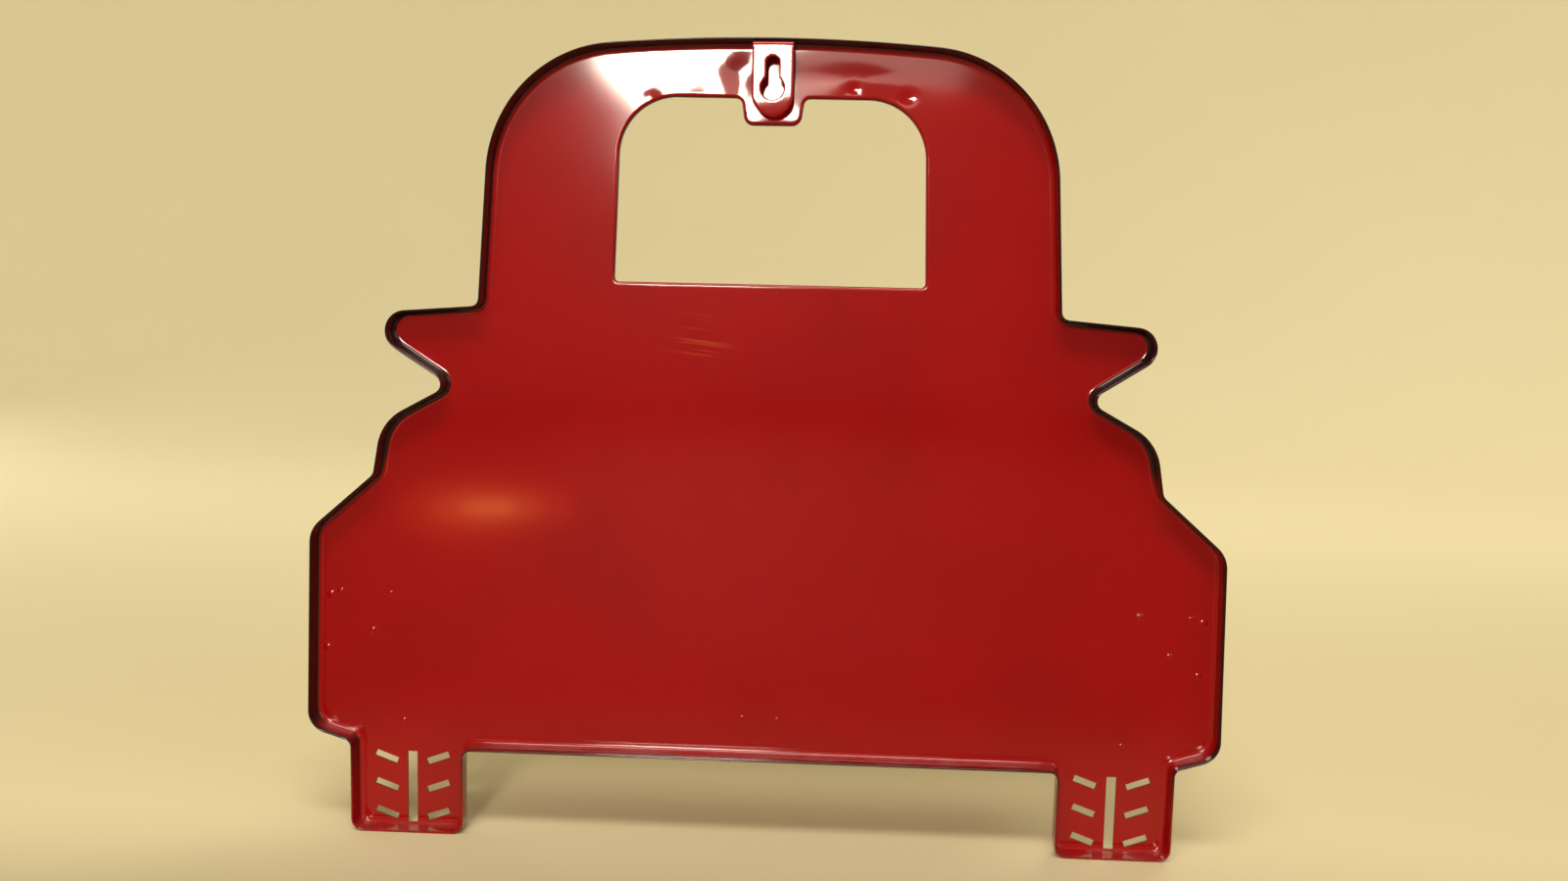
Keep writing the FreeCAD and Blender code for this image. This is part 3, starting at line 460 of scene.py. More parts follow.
panel = {
    "sheetThick": 0.8,
    "rimDepth": 9.0,
    "rootRadius": 3.0,
    "edgeRound": 0.38,
    "crownHeight": 323.2,
    "crownRadius": 765.0,
    "roofCorner": (109.2, 53.0),          # across, radius; its height lies on the crown
    "corners": [                          # across, height, radius
        (115.0, 218.0, 3.0),
        (169.2, 213.6, 8.3),
        (126.6, 186.2, 3.7),
        (154.2, 171.0, 20.0),
        (157.8, 149.4, 4.0),
        (184.0, 126.3, 12.0),
        (186.0, 43.5, 9.5),
        (168.3, 38.0, 3.0),
        (168.3, 0.0, 5.0),
        (121.5, 0.0, 5.0),
        (121.5, 35.5, 3.0),
    ],
    "windowCorners": [
        (11.0, 291.0, 4.0),
        (12.5, 301.5, 2.5),
        (59.8, 301.5, 23.0),
        (62.0, 229.0, 1.8),
    ],
    "lipDepth": 2.0,
    "lipBend": 0.4,
    "flatRings": (0.35, 1.1),             # extra rings where a bend runs into the flat
    "sample": 1.6,                        # spacing of points along the outlines
    "grid": 3.0,                          # spacing of points inside the flat
    "fineGrid": 0.9,                      # the same round small dents
    "smallDent": 6.0,
    "dentFade": 9.0,                      # the dents die away towards the rim
}
# shallow dents and bulges of the flat: across, height, spread across, spread up, rise towards the wall
panelDents = [
    (0.0, 300.0, 46.0, 13.0, 0.50),
    (12.5, 311.0, 6.2, 17.0, -0.80),
    (-14.0, 292.0, 12.0, 7.0, 0.55),
    (27.4, 302.3, 7.5, 4.6, -0.36),
    (48.3, 300.6, 3.4, 3.2, -0.24),
    (-31.6, 305.5, 2.0, 1.8, -0.40),
    (-52.6, 302.5, 2.4, 1.8, -0.40),
    (-34.0, 309.0, 16.0, 5.0, 0.30),
    (104.0, 137.0, 30.0, 16.0, 0.20),
    (-60.0, 120.0, 60.0, 45.0, -0.3),
    (30.0, 200.0, 70.0, 35.0, 0.3),
    (-174.9, 101.4, 1.8, 1.8, -0.30),
    (-20.0, 70.0, 90.0, 25.0, 0.25),
]


def arcPoints(centre, radius, start, stop, outward, step):
    # points along an arc with their outward normals
    count = max(2, math.ceil(abs(stop - start) * max(radius, 1.2) / step))
    points = []
    for index in range(count + 1):
        angle = start + (stop - start) * index / count
        ray = Vector((math.cos(angle), math.sin(angle)))
        points.append((centre + ray * radius, ray * outward))
    return points


def roundedPath(corners, step):
    # the corner arcs along a path that goes clockwise round the metal
    points = []
    for index in range(1, len(corners) - 1):
        before, here, after = (Vector(corners[index + k][:2]) for k in (-1, 0, 1))
        radius = corners[index][2]
        arrive, leave = (here - before).normalized(), (after - here).normalized()
        turn = arrive.cross(leave)
        side = Vector((arrive.y, -arrive.x)) if turn < 0 else Vector((-arrive.y, arrive.x))
        cutBack = radius * math.tan(math.acos(clamp(arrive.dot(leave), -1, 1)) / 2)
        centre = here - arrive * cutBack + side * radius
        first, last = here - arrive * cutBack - centre, here + leave * cutBack - centre
        start = math.atan2(first.y, first.x)
        sweep = math.atan2(first.cross(last), first.dot(last))
        # a right turn is a corner that sticks out
        points.append(arcPoints(centre, radius, start, start + sweep, 1 if turn < 0 else -1, step))
    return points


def joinRuns(runs, step):
    # fill the straight stretches between arcs with evenly spaced points
    chain = []
    for index, run in enumerate(runs):
        if index:
            (fromPoint, _), (toPoint, normal) = chain[-1], run[0]
            gap = (toPoint - fromPoint).length
            count = max(1, math.ceil(gap / (2 * step)))
            for k in range(1, count):
                chain.append((fromPoint.lerp(toPoint, k / count), normal))
            if gap < 1e-6:
                chain.pop()
        chain.extend(run)
    return chain


def withMirror(half):
    # the right half from top to bottom, then its mirror image back up to the top
    other = [(Vector((-p.x, p.y)), Vector((-n.x, n.y))) for p, n in reversed(half)]
    loop = half + other
    cleaned = []
    for point, normal in loop:
        if not cleaned or (point - cleaned[-1][0]).length > 1e-4:
            cleaned.append((point, normal))
    if (cleaned[0][0] - cleaned[-1][0]).length < 1e-4:
        cleaned.pop()
    return cleaned


def closeOutline(start, corners, step):
    # the right half: runs to start with, then corners down to the middle line; and its mirror image
    low = corners[-1][1]
    last = [(Vector((0.0, low)), Vector((0, -1)))]
    return withMirror(joinRuns(start + roundedPath(corners + [(0.0, low, 0)], step) + [last], step))


def plainOutline(corners, step):
    # one that starts level from the middle line at the height of its first corner
    top = corners[0][1]
    return closeOutline([[(Vector((0.0, top)), Vector((0, 1)))]], [(0.0, top, 0)] + corners, step)


def panelOutline():
    # clockwise from the middle of the roof
    step = panel["sample"]
    across, radius = panel["roofCorner"]
    crownCentre = Vector((0, panel["crownHeight"] - panel["crownRadius"]))
    reach = panel["crownRadius"]
    corner = Vector((across, crownCentre.y + math.sqrt(reach ** 2 - across ** 2)))
    belt = Vector(panel["corners"][0][:2])
    down = (belt - corner).normalized()
    inward = Vector((down.y, -down.x))
    # the roof fillet touches the crown from inside and the side line
    base = corner + inward * radius - crownCentre
    half = base.dot(down)
    along = -half - math.sqrt(half ** 2 - base.length_squared + (reach - radius) ** 2)
    middle = corner + down * along + inward * radius
    outward = (middle - crownCentre).normalized()
    crownEnd = math.atan2(outward.y, outward.x)
    sideStart = math.atan2(-inward.y, -inward.x)
    crown = arcPoints(crownCentre, reach, math.pi / 2, crownEnd, 1, 2 * step)
    fillet = arcPoints(middle, radius, crownEnd, sideStart, 1, step)
    corners = [tuple(middle - inward * radius) + (0,)] + panel["corners"]
    return closeOutline([crown, fillet], corners, step)


def quarter(centre, radius, start, stop, count):
    # points of a profile arc, in degrees
    turns = [math.radians(start + (stop - start) * k / count) for k in range(count + 1)]
    return [(centre[0] + radius * math.cos(t), centre[1] + radius * math.sin(t)) for t in turns]


def crossings(loop, level):
    # where a closed loop crosses a height
    return [a.x + (b.x - a.x) * (level - a.y) / (b.y - a.y)
            for a, b in zip(loop, loop[1:] + loop[:1]) if (a.y > level) != (b.y > level)]


def insideRows(loops, spacing, keep, clearOf):
    # staggered grid of points inside the loops, clear of their edges
    points = []
    high = max(p.y for loop in loops for p in loop)
    level = min(p.y for loop in loops for p in loop) + spacing
    shift = 0.0
    while level < high:
        cuts = sorted(x for loop in loops for x in crossings(loop, level))
        for left, right in zip(cuts[::2], cuts[1::2]):
            first = math.ceil((left - shift) / spacing)
            for k in range(first, math.floor((right - shift) / spacing) + 1):
                x = k * spacing + shift
                if keep(x, level) and clearOf.find((x, level, 0))[2] > spacing * edgeClearance:
                    points.append(Vector((x, level)))
        shift = spacing / 2 - shift
        level += spacing * rowStep
    return points


def dentRise(x, height, inset):
    # how far the flat stands towards the wall at a place; the rim itself stays true
    rise = 0.0
    for centreX, centreZ, wide, tall, high in panelDents:
        u, v = (x - centreX) / wide, (height - centreZ) / tall
        if abs(u) < 3 and abs(v) < 3:
            rise += high * math.exp(-u * u - v * v)
    return rise * smoothStep(panel["rootRadius"], panel["rootRadius"] + panel["dentFade"], inset)


def treeOf(points):
    tree = KDTree(len(points))
    for index, point in enumerate(points):
        tree.insert((point.x, point.y, 0), index)
    tree.balance()
    return tree


def insideLoop(point, loop):
    return sum(x > point.x for x in crossings(loop, point.y)) % 2 == 1


def fillFaces(vertices, faces, loops, net, layers):
    # the same net of triangles in every layer, between the outline and its holes
    border = sum(len(loop) for loop in loops)
    edges, start = [], 0
    for loop in loops:
        count = len(loop)
        edges += [(start + k, start + (k + 1) % count) for k in range(count)]
        start += count
    given = [point for loop in loops for point in loop] + net
    made, _, triangles, origins, _, _ = delaunay_2d_cdt(given, edges, [], 1, 1e-6)
    kept = []
    for a, b, c in triangles:
        middle = (made[a] + made[b] + made[c]) / 3
        if not any(insideLoop(middle, hole) for hole in loops[1:]):
            kept.append((a, b, c))
    for y, borderIndices in layers:
        lookup = {}
        for index, source in enumerate(origins):
            if source and source[0] < border:
                lookup[index] = borderIndices[source[0]]
            else:
                lookup[index] = len(vertices)
                vertices.append((made[index].x, y, made[index].y))
        faces += [tuple(lookup[k] for k in triangle) for triangle in kept]


def ringOf(vertices, loop, offset, y, sign):
    start = len(vertices)
    for point, normal in loop:
        spot = point + normal * (offset * sign)
        vertices.append((spot.x, y, spot.y))
    return list(range(start, len(vertices)))


def skin(faces, rings):
    # quads between rings that follow each other
    for first, second in zip(rings, rings[1:]):
        for k in range(len(first)):
            after = (k + 1) % len(first)
            faces.append((first[k], first[after], second[after], second[k]))


def bodyPanelMesh():
    outline = panelOutline()
    opening = plainOutline(panel["windowCorners"], panel["sample"] * 0.6)
    thick, depth, root = panel["sheetThick"], panel["rimDepth"], panel["rootRadius"]
    edge, flatRings = panel["edgeRound"], panel["flatRings"]
    vertices, faces = [], []
    outlineTree = treeOf([p for p, n in outline])

    # rim section as (inset, y), from the front round the root and edge to the wall face
    outer = [(root + margin, -depth) for margin in reversed(flatRings)]
    outer += quarter((root, root - depth), root, 270, 180, 7)
    outer += [(0.0, -depth * 0.45), (0.0, -edge * 2)]
    outer += quarter((edge, -edge), edge, 180, 90, 3)
    inner = quarter((thick - edge, -edge), edge, 90, 0, 3)
    inner += [(thick, -edge * 2), (thick, -depth * 0.45)]
    inner += quarter((root, root - depth), root - thick, 180, 270, 6)
    inner += [(root + margin, thick - depth) for margin in flatRings]
    rings = [ringOf(vertices, outline, inset, y, -1) for inset, y in outer + inner]
    skin(faces, rings[::-1])
    frontRing, wallRing = rings[0], rings[-1]

    # window lip section as (offset into the metal, y), from the wall face to the front
    bend, lipEnd = panel["lipBend"], -depth - panel["lipDepth"]
    centre = (thick + bend, -depth - bend)
    section = [(centre[0] + margin, thick - depth) for margin in reversed(flatRings)]
    section += quarter(centre, thick + bend, 90, 180, 5)
    section += [(0.0, lipEnd + edge)] + quarter((edge, lipEnd + edge), edge, 180, 270, 3)[1:]
    section += quarter((thick - edge, lipEnd + edge), edge, 270, 360, 3)[1:]
    section += quarter(centre, bend, 180, 90, 3)
    section += [(centre[0] + margin, -depth) for margin in flatRings]
    lipRings = [ringOf(vertices, opening, offset, y, 1) for offset, y in section]
    skin(faces, lipRings)
    wallLip, frontLip = lipRings[0], lipRings[-1]

    # fill both faces with the same net of triangles
    loops = []
    for indices in (wallRing, wallLip):
        loops.append([Vector((vertices[k][0], vertices[k][2])) for k in indices])
    loopTree = treeOf(loops[0] + loops[1])

    def nearDent(x, z):
        return any(abs(x - d[0]) < 2.6 * d[2] and abs(z - d[1]) < 2.6 * d[3]
                   for d in panelDents if d[2] < panel["smallDent"])

    net = insideRows(loops, panel["grid"], lambda x, z: not nearDent(x, z), loopTree)
    net += insideRows(loops, panel["fineGrid"], nearDent, loopTree)
    fillFaces(vertices, faces, loops, net, ((thick - depth, wallRing + wallLip),
                                            (-depth, frontRing + frontLip)))
    placed = []
    for x, y, z in vertices:
        inset = outlineTree.find((x, z, 0))[2]
        rise = dentRise(x, z, inset)
        placed.append((x * mm, (y + rise) * mm, atHeight(z)))
    piece = meshPiece("bodyPanel", placed, faces)
    turnOutwards(piece.data)
    insets = [outlineTree.find((v.co.x / mm, (v.co.z - tyreBottom) / mm, 0))[2] * mm
              for v in piece.data.vertices]
    attribute = piece.data.attributes.new("inset", "FLOAT", "POINT")
    attribute.data.foreach_set("value", insets)
    print("body panel:", len(vertices), "points,", len(faces), "faces")
    return piece


def newTree(name, inputs):
    tree = bpy.data.node_groups.new(name, "GeometryNodeTree")
    tree.interface.new_socket(name="Geometry", in_out="INPUT", socket_type="NodeSocketGeometry")
    for label, kind in inputs.items():
        tree.interface.new_socket(name=label, in_out="INPUT", socket_type=f"NodeSocket{kind}")
    tree.interface.new_socket(name="Geometry", in_out="OUTPUT", socket_type="NodeSocketGeometry")
    return tree, tree.nodes.new("NodeGroupInput").outputs, tree.nodes.new("NodeGroupOutput").inputs


def settle(name, tree, values, spots):
    # run the tree on points and keep the result as a plain mesh
    points = bpy.data.meshes.new(name + "Spots")
    points.from_pydata(spots, [], [])
    holder = bpy.data.objects.new(name, points)
    scene.collection.objects.link(holder)
    modifier = holder.modifiers.new(name, "NODES")
    modifier.node_group = tree
    sockets = {s.name: s.identifier for s in tree.interface.items_tree if s.in_out == "INPUT"}
    for label, value in values.items():
        modifier[sockets[label]] = value
    graph = bpy.context.evaluated_depsgraph_get()
    made = bpy.data.meshes.new_from_object(holder.evaluated_get(graph))
    holder.modifiers.clear()
    holder.data = made
    made.name = name
    return holder


def finishTree(tree, geometry, given, out):
    real = addNode(tree, "GeometryNodeRealizeInstances", {"Geometry": geometry})
    painted = addNode(tree, "GeometryNodeSetMaterial", {"Geometry": real.outputs[0],
                                                       "Material": given["Finish"]})
    tree.links.new(painted.outputs[0], out["Geometry"])
    return tree


def copiesOn(tree, points, shape, **more):
    return addNode(tree, "GeometryNodeInstanceOnPoints", {"Points": points, "Instance": shape,
                                                          **more}).outputs[0]


def vectorFrom(tree, **axes):
    return addNode(tree, "ShaderNodeCombineXYZ", axes).outputs[0]


tread = {
    "slotWidth": 4.0,
    "slotLow": 1.5,
    "slotHigh": 32.0,
    "barLength": 9.7,
    "barWidth": 2.8,
    "barTilt": math.radians(20),
    "barReach": 10.8,
    "barLow": 5.2,
    "barPitch": 12.1,
    "rows": 3,
    "tyreMiddle": 144.9,
    "through": 12.0,
}


def treadTree():
    # cutters for one tyre's tread: an upright slot with slanted bars at each side
    tree, given, out = newTree("treadTree", {
        "Slot": "Vector", "Slot Height": "Float", "Bar": "Vector", "Tilt": "Float", "Reach": "Float",
        "Lowest": "Float", "Pitch": "Float", "Rows": "Int", "Finish": "Material"})
    slot = addNode(tree, "GeometryNodeMeshCube", {"Size": given["Slot"]})
    moved = addNode(tree, "GeometryNodeTransform", {
        "Geometry": slot.outputs["Mesh"], "Translation": vectorFrom(tree, Z=given["Slot Height"])})
    pieces = [moved.outputs[0]]
    bar = addNode(tree, "GeometryNodeMeshCube", {"Size": given["Bar"]})
    for hand in (-1, 1):
        column = addNode(tree, "GeometryNodeMeshLine", {
            "Count": given["Rows"], "Offset": vectorFrom(tree, Z=given["Pitch"]),
            "Start Location": vectorFrom(tree, X=product(tree, given["Reach"], hand), Z=given["Lowest"])})
        pieces.append(copiesOn(tree, column.outputs["Mesh"], bar.outputs["Mesh"],
                               Rotation=vectorFrom(tree, Y=product(tree, given["Tilt"], -hand))))
    whole = addNode(tree, "GeometryNodeJoinGeometry")
    for piece in pieces:
        tree.links.new(piece, whole.inputs[0])
    return finishTree(tree, copiesOn(tree, given["Geometry"], whole.outputs[0]), given, out)


def cutTread(piece):
    spots = [(sign * tread["tyreMiddle"] * mm, -panel["rimDepth"] * mm, tyreBottom) for sign in (-1, 1)]
    cutter = settle("treadCutter", treadTree(), {
        "Slot": (tread["slotWidth"] * mm, tread["through"] * mm, (tread["slotHigh"] - tread["slotLow"]) * mm),
        "Slot Height": (tread["slotHigh"] + tread["slotLow"]) / 2 * mm,
        "Bar": (tread["barLength"] * mm, tread["through"] * mm, tread["barWidth"] * mm),
        "Tilt": tread["barTilt"], "Reach": tread["barReach"] * mm, "Lowest": tread["barLow"] * mm,
        "Pitch": tread["barPitch"] * mm, "Rows": tread["rows"], "Finish": materials["panel"],
    }, spots)
    modifier = piece.modifiers.new("tread", "BOOLEAN")
    modifier.object = cutter
    modifier.operation = "DIFFERENCE"
    modifier.solver = "EXACT"
    graph = bpy.context.evaluated_depsgraph_get()
    cut = bpy.data.meshes.new_from_object(piece.evaluated_get(graph))
    cut.set_sharp_from_angle(angle=sheetCrease)
    piece.modifiers.clear()
    piece.data = cut
    bpy.data.objects.remove(cutter)
    print("tread cut:", len(cut.polygons), "faces")


def turnedMesh(name, rows, count, closed=False, shape=None):
    # closed skin round an axis along Y, from rows of (radius, y); radius 0 closes an end
    vertices, faces, loops = [], [], []
    for radius, y in rows:
        start = len(vertices)
        for k in range(count if radius else 1):
            turn = 2 * math.pi * k / count
            reach, level = shape(radius, y, turn) if shape else (radius, y)
            vertices.append((reach * math.cos(turn) * mm, level * mm, reach * math.sin(turn) * mm))
        loops.append(list(range(start, len(vertices))))
    for first, second in zip(loops, loops[1:] + loops[:1] if closed else loops[1:]):
        for k in range(count):
            after = (k + 1) % count
            corners = [first[k % len(first)], first[after % len(first)],
                       second[after % len(second)], second[k % len(second)]]
            faces.append(tuple(dict.fromkeys(corners)))
    mesh = bpy.data.meshes.new(name)
    mesh.from_pydata(vertices, [], faces)
    turnOutwards(mesh)
    mesh.shade_smooth()
    mesh.set_sharp_from_angle(angle=turnedCrease)
    return mesh


def scatterTree():
    # one shape on every point, each copy a little uneven in size and turned about its own axis
    tree, given, out = newTree("scatterTree", {"Shape": "Object", "Uneven": "Float", "Spin": "Float",
                                               "Seed": "Int", "Finish": "Material"})
    shape = addNode(tree, "GeometryNodeObjectInfo", {"Object": given["Shape"]})
    low = calc(tree, "SUBTRACT", 1.0, given["Uneven"])
    high = calc(tree, "ADD", 1.0, given["Uneven"])
    size = addNode(tree, "FunctionNodeRandomValue", {2: low, 3: high, 8: given["Seed"]}, data_type="FLOAT")
    spin = addNode(tree, "FunctionNodeRandomValue", {2: 0.0, 3: given["Spin"], 8: given["Seed"]},
                   data_type="FLOAT")
    copies = copiesOn(tree, given["Geometry"], shape.outputs["Geometry"],
                      Rotation=vectorFrom(tree, Y=spin.outputs[1]), Scale=size.outputs[1])
    return finishTree(tree, copies, given, out)


scatter = scatterTree()


def scatterPiece(name, mesh, spots, slot, node, finish=None, uneven=0.0, spin=0.0, seed=1):
    # spots are (across, y, height) in millimetres
    shape = bpy.data.objects.new(name + "Shape", mesh)
    places = [(x * mm, y * mm, atHeight(height)) for x, y, height in spots]
    piece = settle(name, scatter, {"Shape": shape, "Uneven": uneven, "Spin": spin, "Seed": seed,
                                   "Finish": materials[finish or slot]}, places)
    bpy.data.objects.remove(shape)
    keepOnRoot(piece, node)


def punchedSheet(name, loops, sizes, fine, fold):
    # flat sheet with rounded edges and holes; fold puts (across, out, along) into the frame
    thick, edge = sizes["thick"], sizes["edge"]
    vertices, faces, inner, backs, fronts = [], [], [], [], []
    section = quarter((edge, edge - thick), edge, 270, 180, 3) + quarter((edge, -edge), edge, 180, 90, 3)
    for index, loop in enumerate(loops):
        rings = [ringOf(vertices, loop, inset, y, 1 if index else -1) for inset, y in section]
        skin(faces, rings)
        backs += rings[0]
        fronts += rings[-1]
        inner.append([Vector((vertices[k][0], vertices[k][2])) for k in rings[0]])
    near = treeOf([point for loop in inner for point in loop])
    net = insideRows(inner, sizes["grids"][0], lambda x, z: not fine(x, z), near)
    net += insideRows(inner, sizes["grids"][1], fine, near)
    fillFaces(vertices, faces, inner, net, ((-thick, backs), (0.0, fronts)))
    placed = []
    for across, out, along in vertices:
        x, y, height = fold(across, out, along)
        placed.append((x * mm, y * mm, atHeight(height)))
    piece = meshPiece(name, placed, faces)
    turnOutwards(piece.data)
    piece.data.set_sharp_from_angle(angle=sheetCrease)
    return piece


bodyPanel = bodyPanelMesh()
bodyPanel.data.materials.append(materials["panel"])
cutTread(bodyPanel)
keepOnRoot(bodyPanel, "body_panel")

hanger = {
    "half": 8.0,
    "thick": 1.2,
    "endHeight": 301.7,
    "holeHeight": 304.3,
    "holeRadius": 4.55,
    "slotHalf": 2.6,
    "slotTop": 316.2,
    "top": 322.3,
    "bend": 0.6,
    "flangeEnd": 5.6,
    "edge": 0.22,
    "step": 0.3,
    "grids": (0.9, 0.4),                  # spacing of points, and at the bend
    "tilt": 0.028,                        # the strip was welded slightly askew
    "crown": 0.10,
    "droop": 0.30,                        # its round end leans in towards the panel
    "corner": 1.0,
}


def hangerBend():
    # where the strip starts to bend, and the length of the bend along its middle
    middle = hanger["bend"] + hanger["thick"] / 2
    return hanger["top"] - hanger["bend"] - hanger["thick"], middle


def hangerFold(across, out, along):
    start, middle = hangerBend()
    outside = hanger["top"] - start
    turn = clamp((along - start) / middle, 0.0, math.pi / 2)
    y, height = out, along
    if along > start:
        past = max(0.0, along - start - middle * math.pi / 2)
        radius = outside + out
        y = -outside + radius * math.cos(turn) - past
        height = start + radius * math.sin(turn)
    askew = hanger["tilt"] * (across + hanger["half"]) + hanger["crown"] * (across / hanger["half"]) ** 2
    droop = hanger["droop"] * max(0.0, (hanger["endHeight"] - height) / hanger["half"]) ** 2
    return across, y - askew - droop, height


def hangerPlate():
    half, step = hanger["half"], hanger["step"]
    quarterTurn = math.pi / 2
    start, middle = hangerBend()
    end = start + middle * quarterTurn + hanger["flangeEnd"] - (hanger["top"] - start)
    corner = hanger["corner"]
    outline = joinRuns([
        arcPoints(Vector((half - corner, end - corner)), corner, quarterTurn, 0, 1, step),
        arcPoints(Vector((0, hanger["endHeight"])), half, 0, -2 * quarterTurn, 1, step),
        arcPoints(Vector((corner - half, end - corner)), corner, 2 * quarterTurn, quarterTurn, 1, step),
        [(Vector((half - corner - step, end)), Vector((0, 1)))],
    ], step)
    hole, slot = hanger["holeRadius"], hanger["slotHalf"]
    joint = math.acos(slot / hole)
    keyhole = joinRuns([
        arcPoints(Vector((0, hanger["holeHeight"])), hole, joint, -joint - 2 * quarterTurn, 1, step),
        arcPoints(Vector((0, hanger["slotTop"] - slot)), slot, 2 * quarterTurn, 0, 1, step),
        [(Vector((slot, hanger["holeHeight"] + hole * math.sin(joint) + step)), Vector((1, 0)))],
    ], step)
    piece = punchedSheet("hangerPlate", [outline, keyhole], hanger,
                         lambda x, z: start - 0.5 < z < start + 3.0, hangerFold)
    piece.data.materials.append(materials["hanger"])
    keepOnRoot(piece, "hanger_plate")


hangerPlate()
print("hanger plate ready")

pips = {
    "foot": 1.4,
    "proud": 0.4,
    "sunk": 0.3,
    "spots": [(174.5, 99.3), (153.5, 98.9), (161.4, 83.2), (178.6, 98.0), (180.3, 75.6), (148.7, 45.0),
              (7.2, 51.4), (-173.4, 99.0), (-152.9, 99.3), (-165.6, 83.2), (-178.5, 97.6),
              (-177.5, 75.6), (-148.3, 45.2), (-7.2, 51.0)],
    "uneven": 0.22,
    "seed": 11,
}


def pipRows():
    # shallow cap with a slightly flared foot
    foot, proud = pips["foot"], pips["proud"]
    ball = (foot ** 2 + proud ** 2) / (2 * proud)
    widest = math.asin(foot / ball)
    rows = [(0, proud)]
    for k in range(1, 11):
        turn = widest * 0.94 * k / 10
        rows.append((ball * math.sin(turn), proud - ball * (1 - math.cos(turn))))
    return rows + [(foot, 0.02), (foot * 1.06, 0.0), (foot * 1.06, -pips["sunk"]), (0, -pips["sunk"])]


wallFace = panel["sheetThick"] - panel["rimDepth"]
scatterPiece("weldPips", turnedMesh("pip", pipRows(), 32),
             [(x, wallFace, height) for x, height in pips["spots"]], "red_enamel", "weld_pips", "pip",
             pips["uneven"], anyTurn, pips["seed"])
print("weld pips ready")

fixings = {
    "boltAcross": 78.0,
    "boltHeight": 58.0,
    "boltHead": [(0, -88.2), (1.2, -88.12), (2.2, -87.86), (3.0, -87.45), (3.6, -86.92), (3.92, -86.4),
                 (4.0, -86.06), (3.94, -86.0), (2.0, -86.0)],
    "threadStart": -85.2,
    "threadEnd": -79.0,
    "threadPitch": 0.7,
    "threadDepth": 0.22,
    "boltEnd": [(1.62, -78.75), (1.35, -78.5), (0, -78.5)],
    "nut": [(2.0, -83.3), (2.7, -83.3), (3.42, -83.3), (9.0, -82.98), (9.0, -80.42), (3.42, -80.1),
            (2.7, -80.1), (2.0, -80.1)],
    "nutFlat": 3.5,
    "rivetAcross": 29.0,
    "rivetHeight": 89.0,
    "rivet": [(0, -70.9), (0.7, -70.85), (1.3, -70.68), (1.85, -70.36), (2.25, -69.95), (2.4, -69.64),
              (2.36, -69.6), (1.2, -69.6), (1.2, -68.2), (2.36, -68.2), (2.4, -68.1), (2.0, -67.6),
              (1.3, -67.3), (0.6, -67.22), (0, -67.2)],
}


def boltRows():
    rows = list(fixings["boltHead"])
    y = fixings["threadStart"]
    while y < fixings["threadEnd"]:
        rows += [(2.0, y), (2.0 - fixings["threadDepth"], y + fixings["threadPitch"] / 2)]
        y += fixings["threadPitch"]
    return rows + fixings["boltEnd"]


def hexagon(radius, y, turn):
    reach = fixings["nutFlat"] / math.cos((turn + math.pi / 6) % (math.pi / 3) - math.pi / 6)
    return min(radius, reach), y


def pairOf(across, height):
    return [(sign * across, 0.0, height) for sign in (-1, 1)]


boltSpots = pairOf(fixings["boltAcross"], fixings["boltHeight"])
rivetSpots = pairOf(fixings["rivetAcross"], fixings["rivetHeight"])
scatterPiece("bumperBolts", turnedMesh("bolt", boltRows(), 48), boltSpots, "plated_trim", "bumper_bolts",
             spin=anyTurn, seed=3)
scatterPiece("bumperNuts", turnedMesh("nut", fixings["nut"], 72, True, hexagon), boltSpots,
             "plated_trim", "bumper_nuts", spin=1.0, seed=5)
scatterPiece("plateRivets", turnedMesh("rivet", fixings["rivet"], 32), rivetSpots, "plated_trim",
             "plate_rivets", spin=anyTurn, seed=7)
print("fixings ready")

lamp = {
    "across": 163.0,
    "height": 94.4,
    "lensRadius": 9.25,
    "crownStart": -38.8,
    "crown": 3.6,
    "ringPitch": 1.54,
    "ringDepth": 0.16,
    "flutes": 36,
    "fluteDepth": 0.10,
    "rows": 60,
    "bezel": [(11.12, -35.42), (13.45, -35.42), (13.6, -35.6), (13.52, -36.1), (13.2, -37.0), (12.7, -37.8),
              (12.2, -38.4), (11.75, -38.72), (11.3, -38.8), (9.9, -38.8), (9.55, -38.72), (9.42, -38.5),
              (9.5, -38.2), (9.8, -38.05), (11.0, -38.0), (11.12, -37.9)],
}


def fluted(radius, y, turn):
    if y > lamp["crownStart"]:
        return radius, y
    share = radius / lamp["lensRadius"]
    ring = 0.5 + 0.5 * math.cos(2 * math.pi * radius / lamp["ringPitch"])
    flute = (0.5 + 0.5 * math.cos(lamp["flutes"] * turn)) * smoothStep(0.3, 0.6, share)
    flute *= smoothStep(1.0, 0.93, share)
    return radius, y + ring * lamp["ringDepth"] * smoothStep(1.0, 0.95, share) + flute * lamp["fluteDepth"]


def lensRows():
    reach = lamp["lensRadius"]
    rows = [(0, -36.0), (9.9, -36.0), (10.05, -36.15), (10.05, -37.9), (9.95, -38.0), (9.3, -38.0),
            (reach, -38.1), (reach, lamp["crownStart"] + 0.01)]
    for k in range(1, lamp["rows"] + 1):
        radius = reach * math.cos(math.pi / 2 * k / lamp["rows"])
        level = lamp["crownStart"] - lamp["crown"] * math.sin(math.pi / 2 * k / lamp["rows"]) ** 1.5
        rows.append((radius if k < lamp["rows"] else 0, level))
    return rows


for side, sign in (("left", -1), ("right", 1)):
    spot = [(sign * lamp["across"], 0.0, lamp["height"])]
    scatterPiece(side + "Lens", turnedMesh("lens", lensRows(), 216, shape=fluted), spot, "red_lens",
                 "lamp_lens_" + side)
    scatterPiece(side + "Bezel", turnedMesh("bezel", lamp["bezel"], 96, True), spot, "plated_trim",
                 "lamp_bezel_" + side)
print("tail lamps ready")

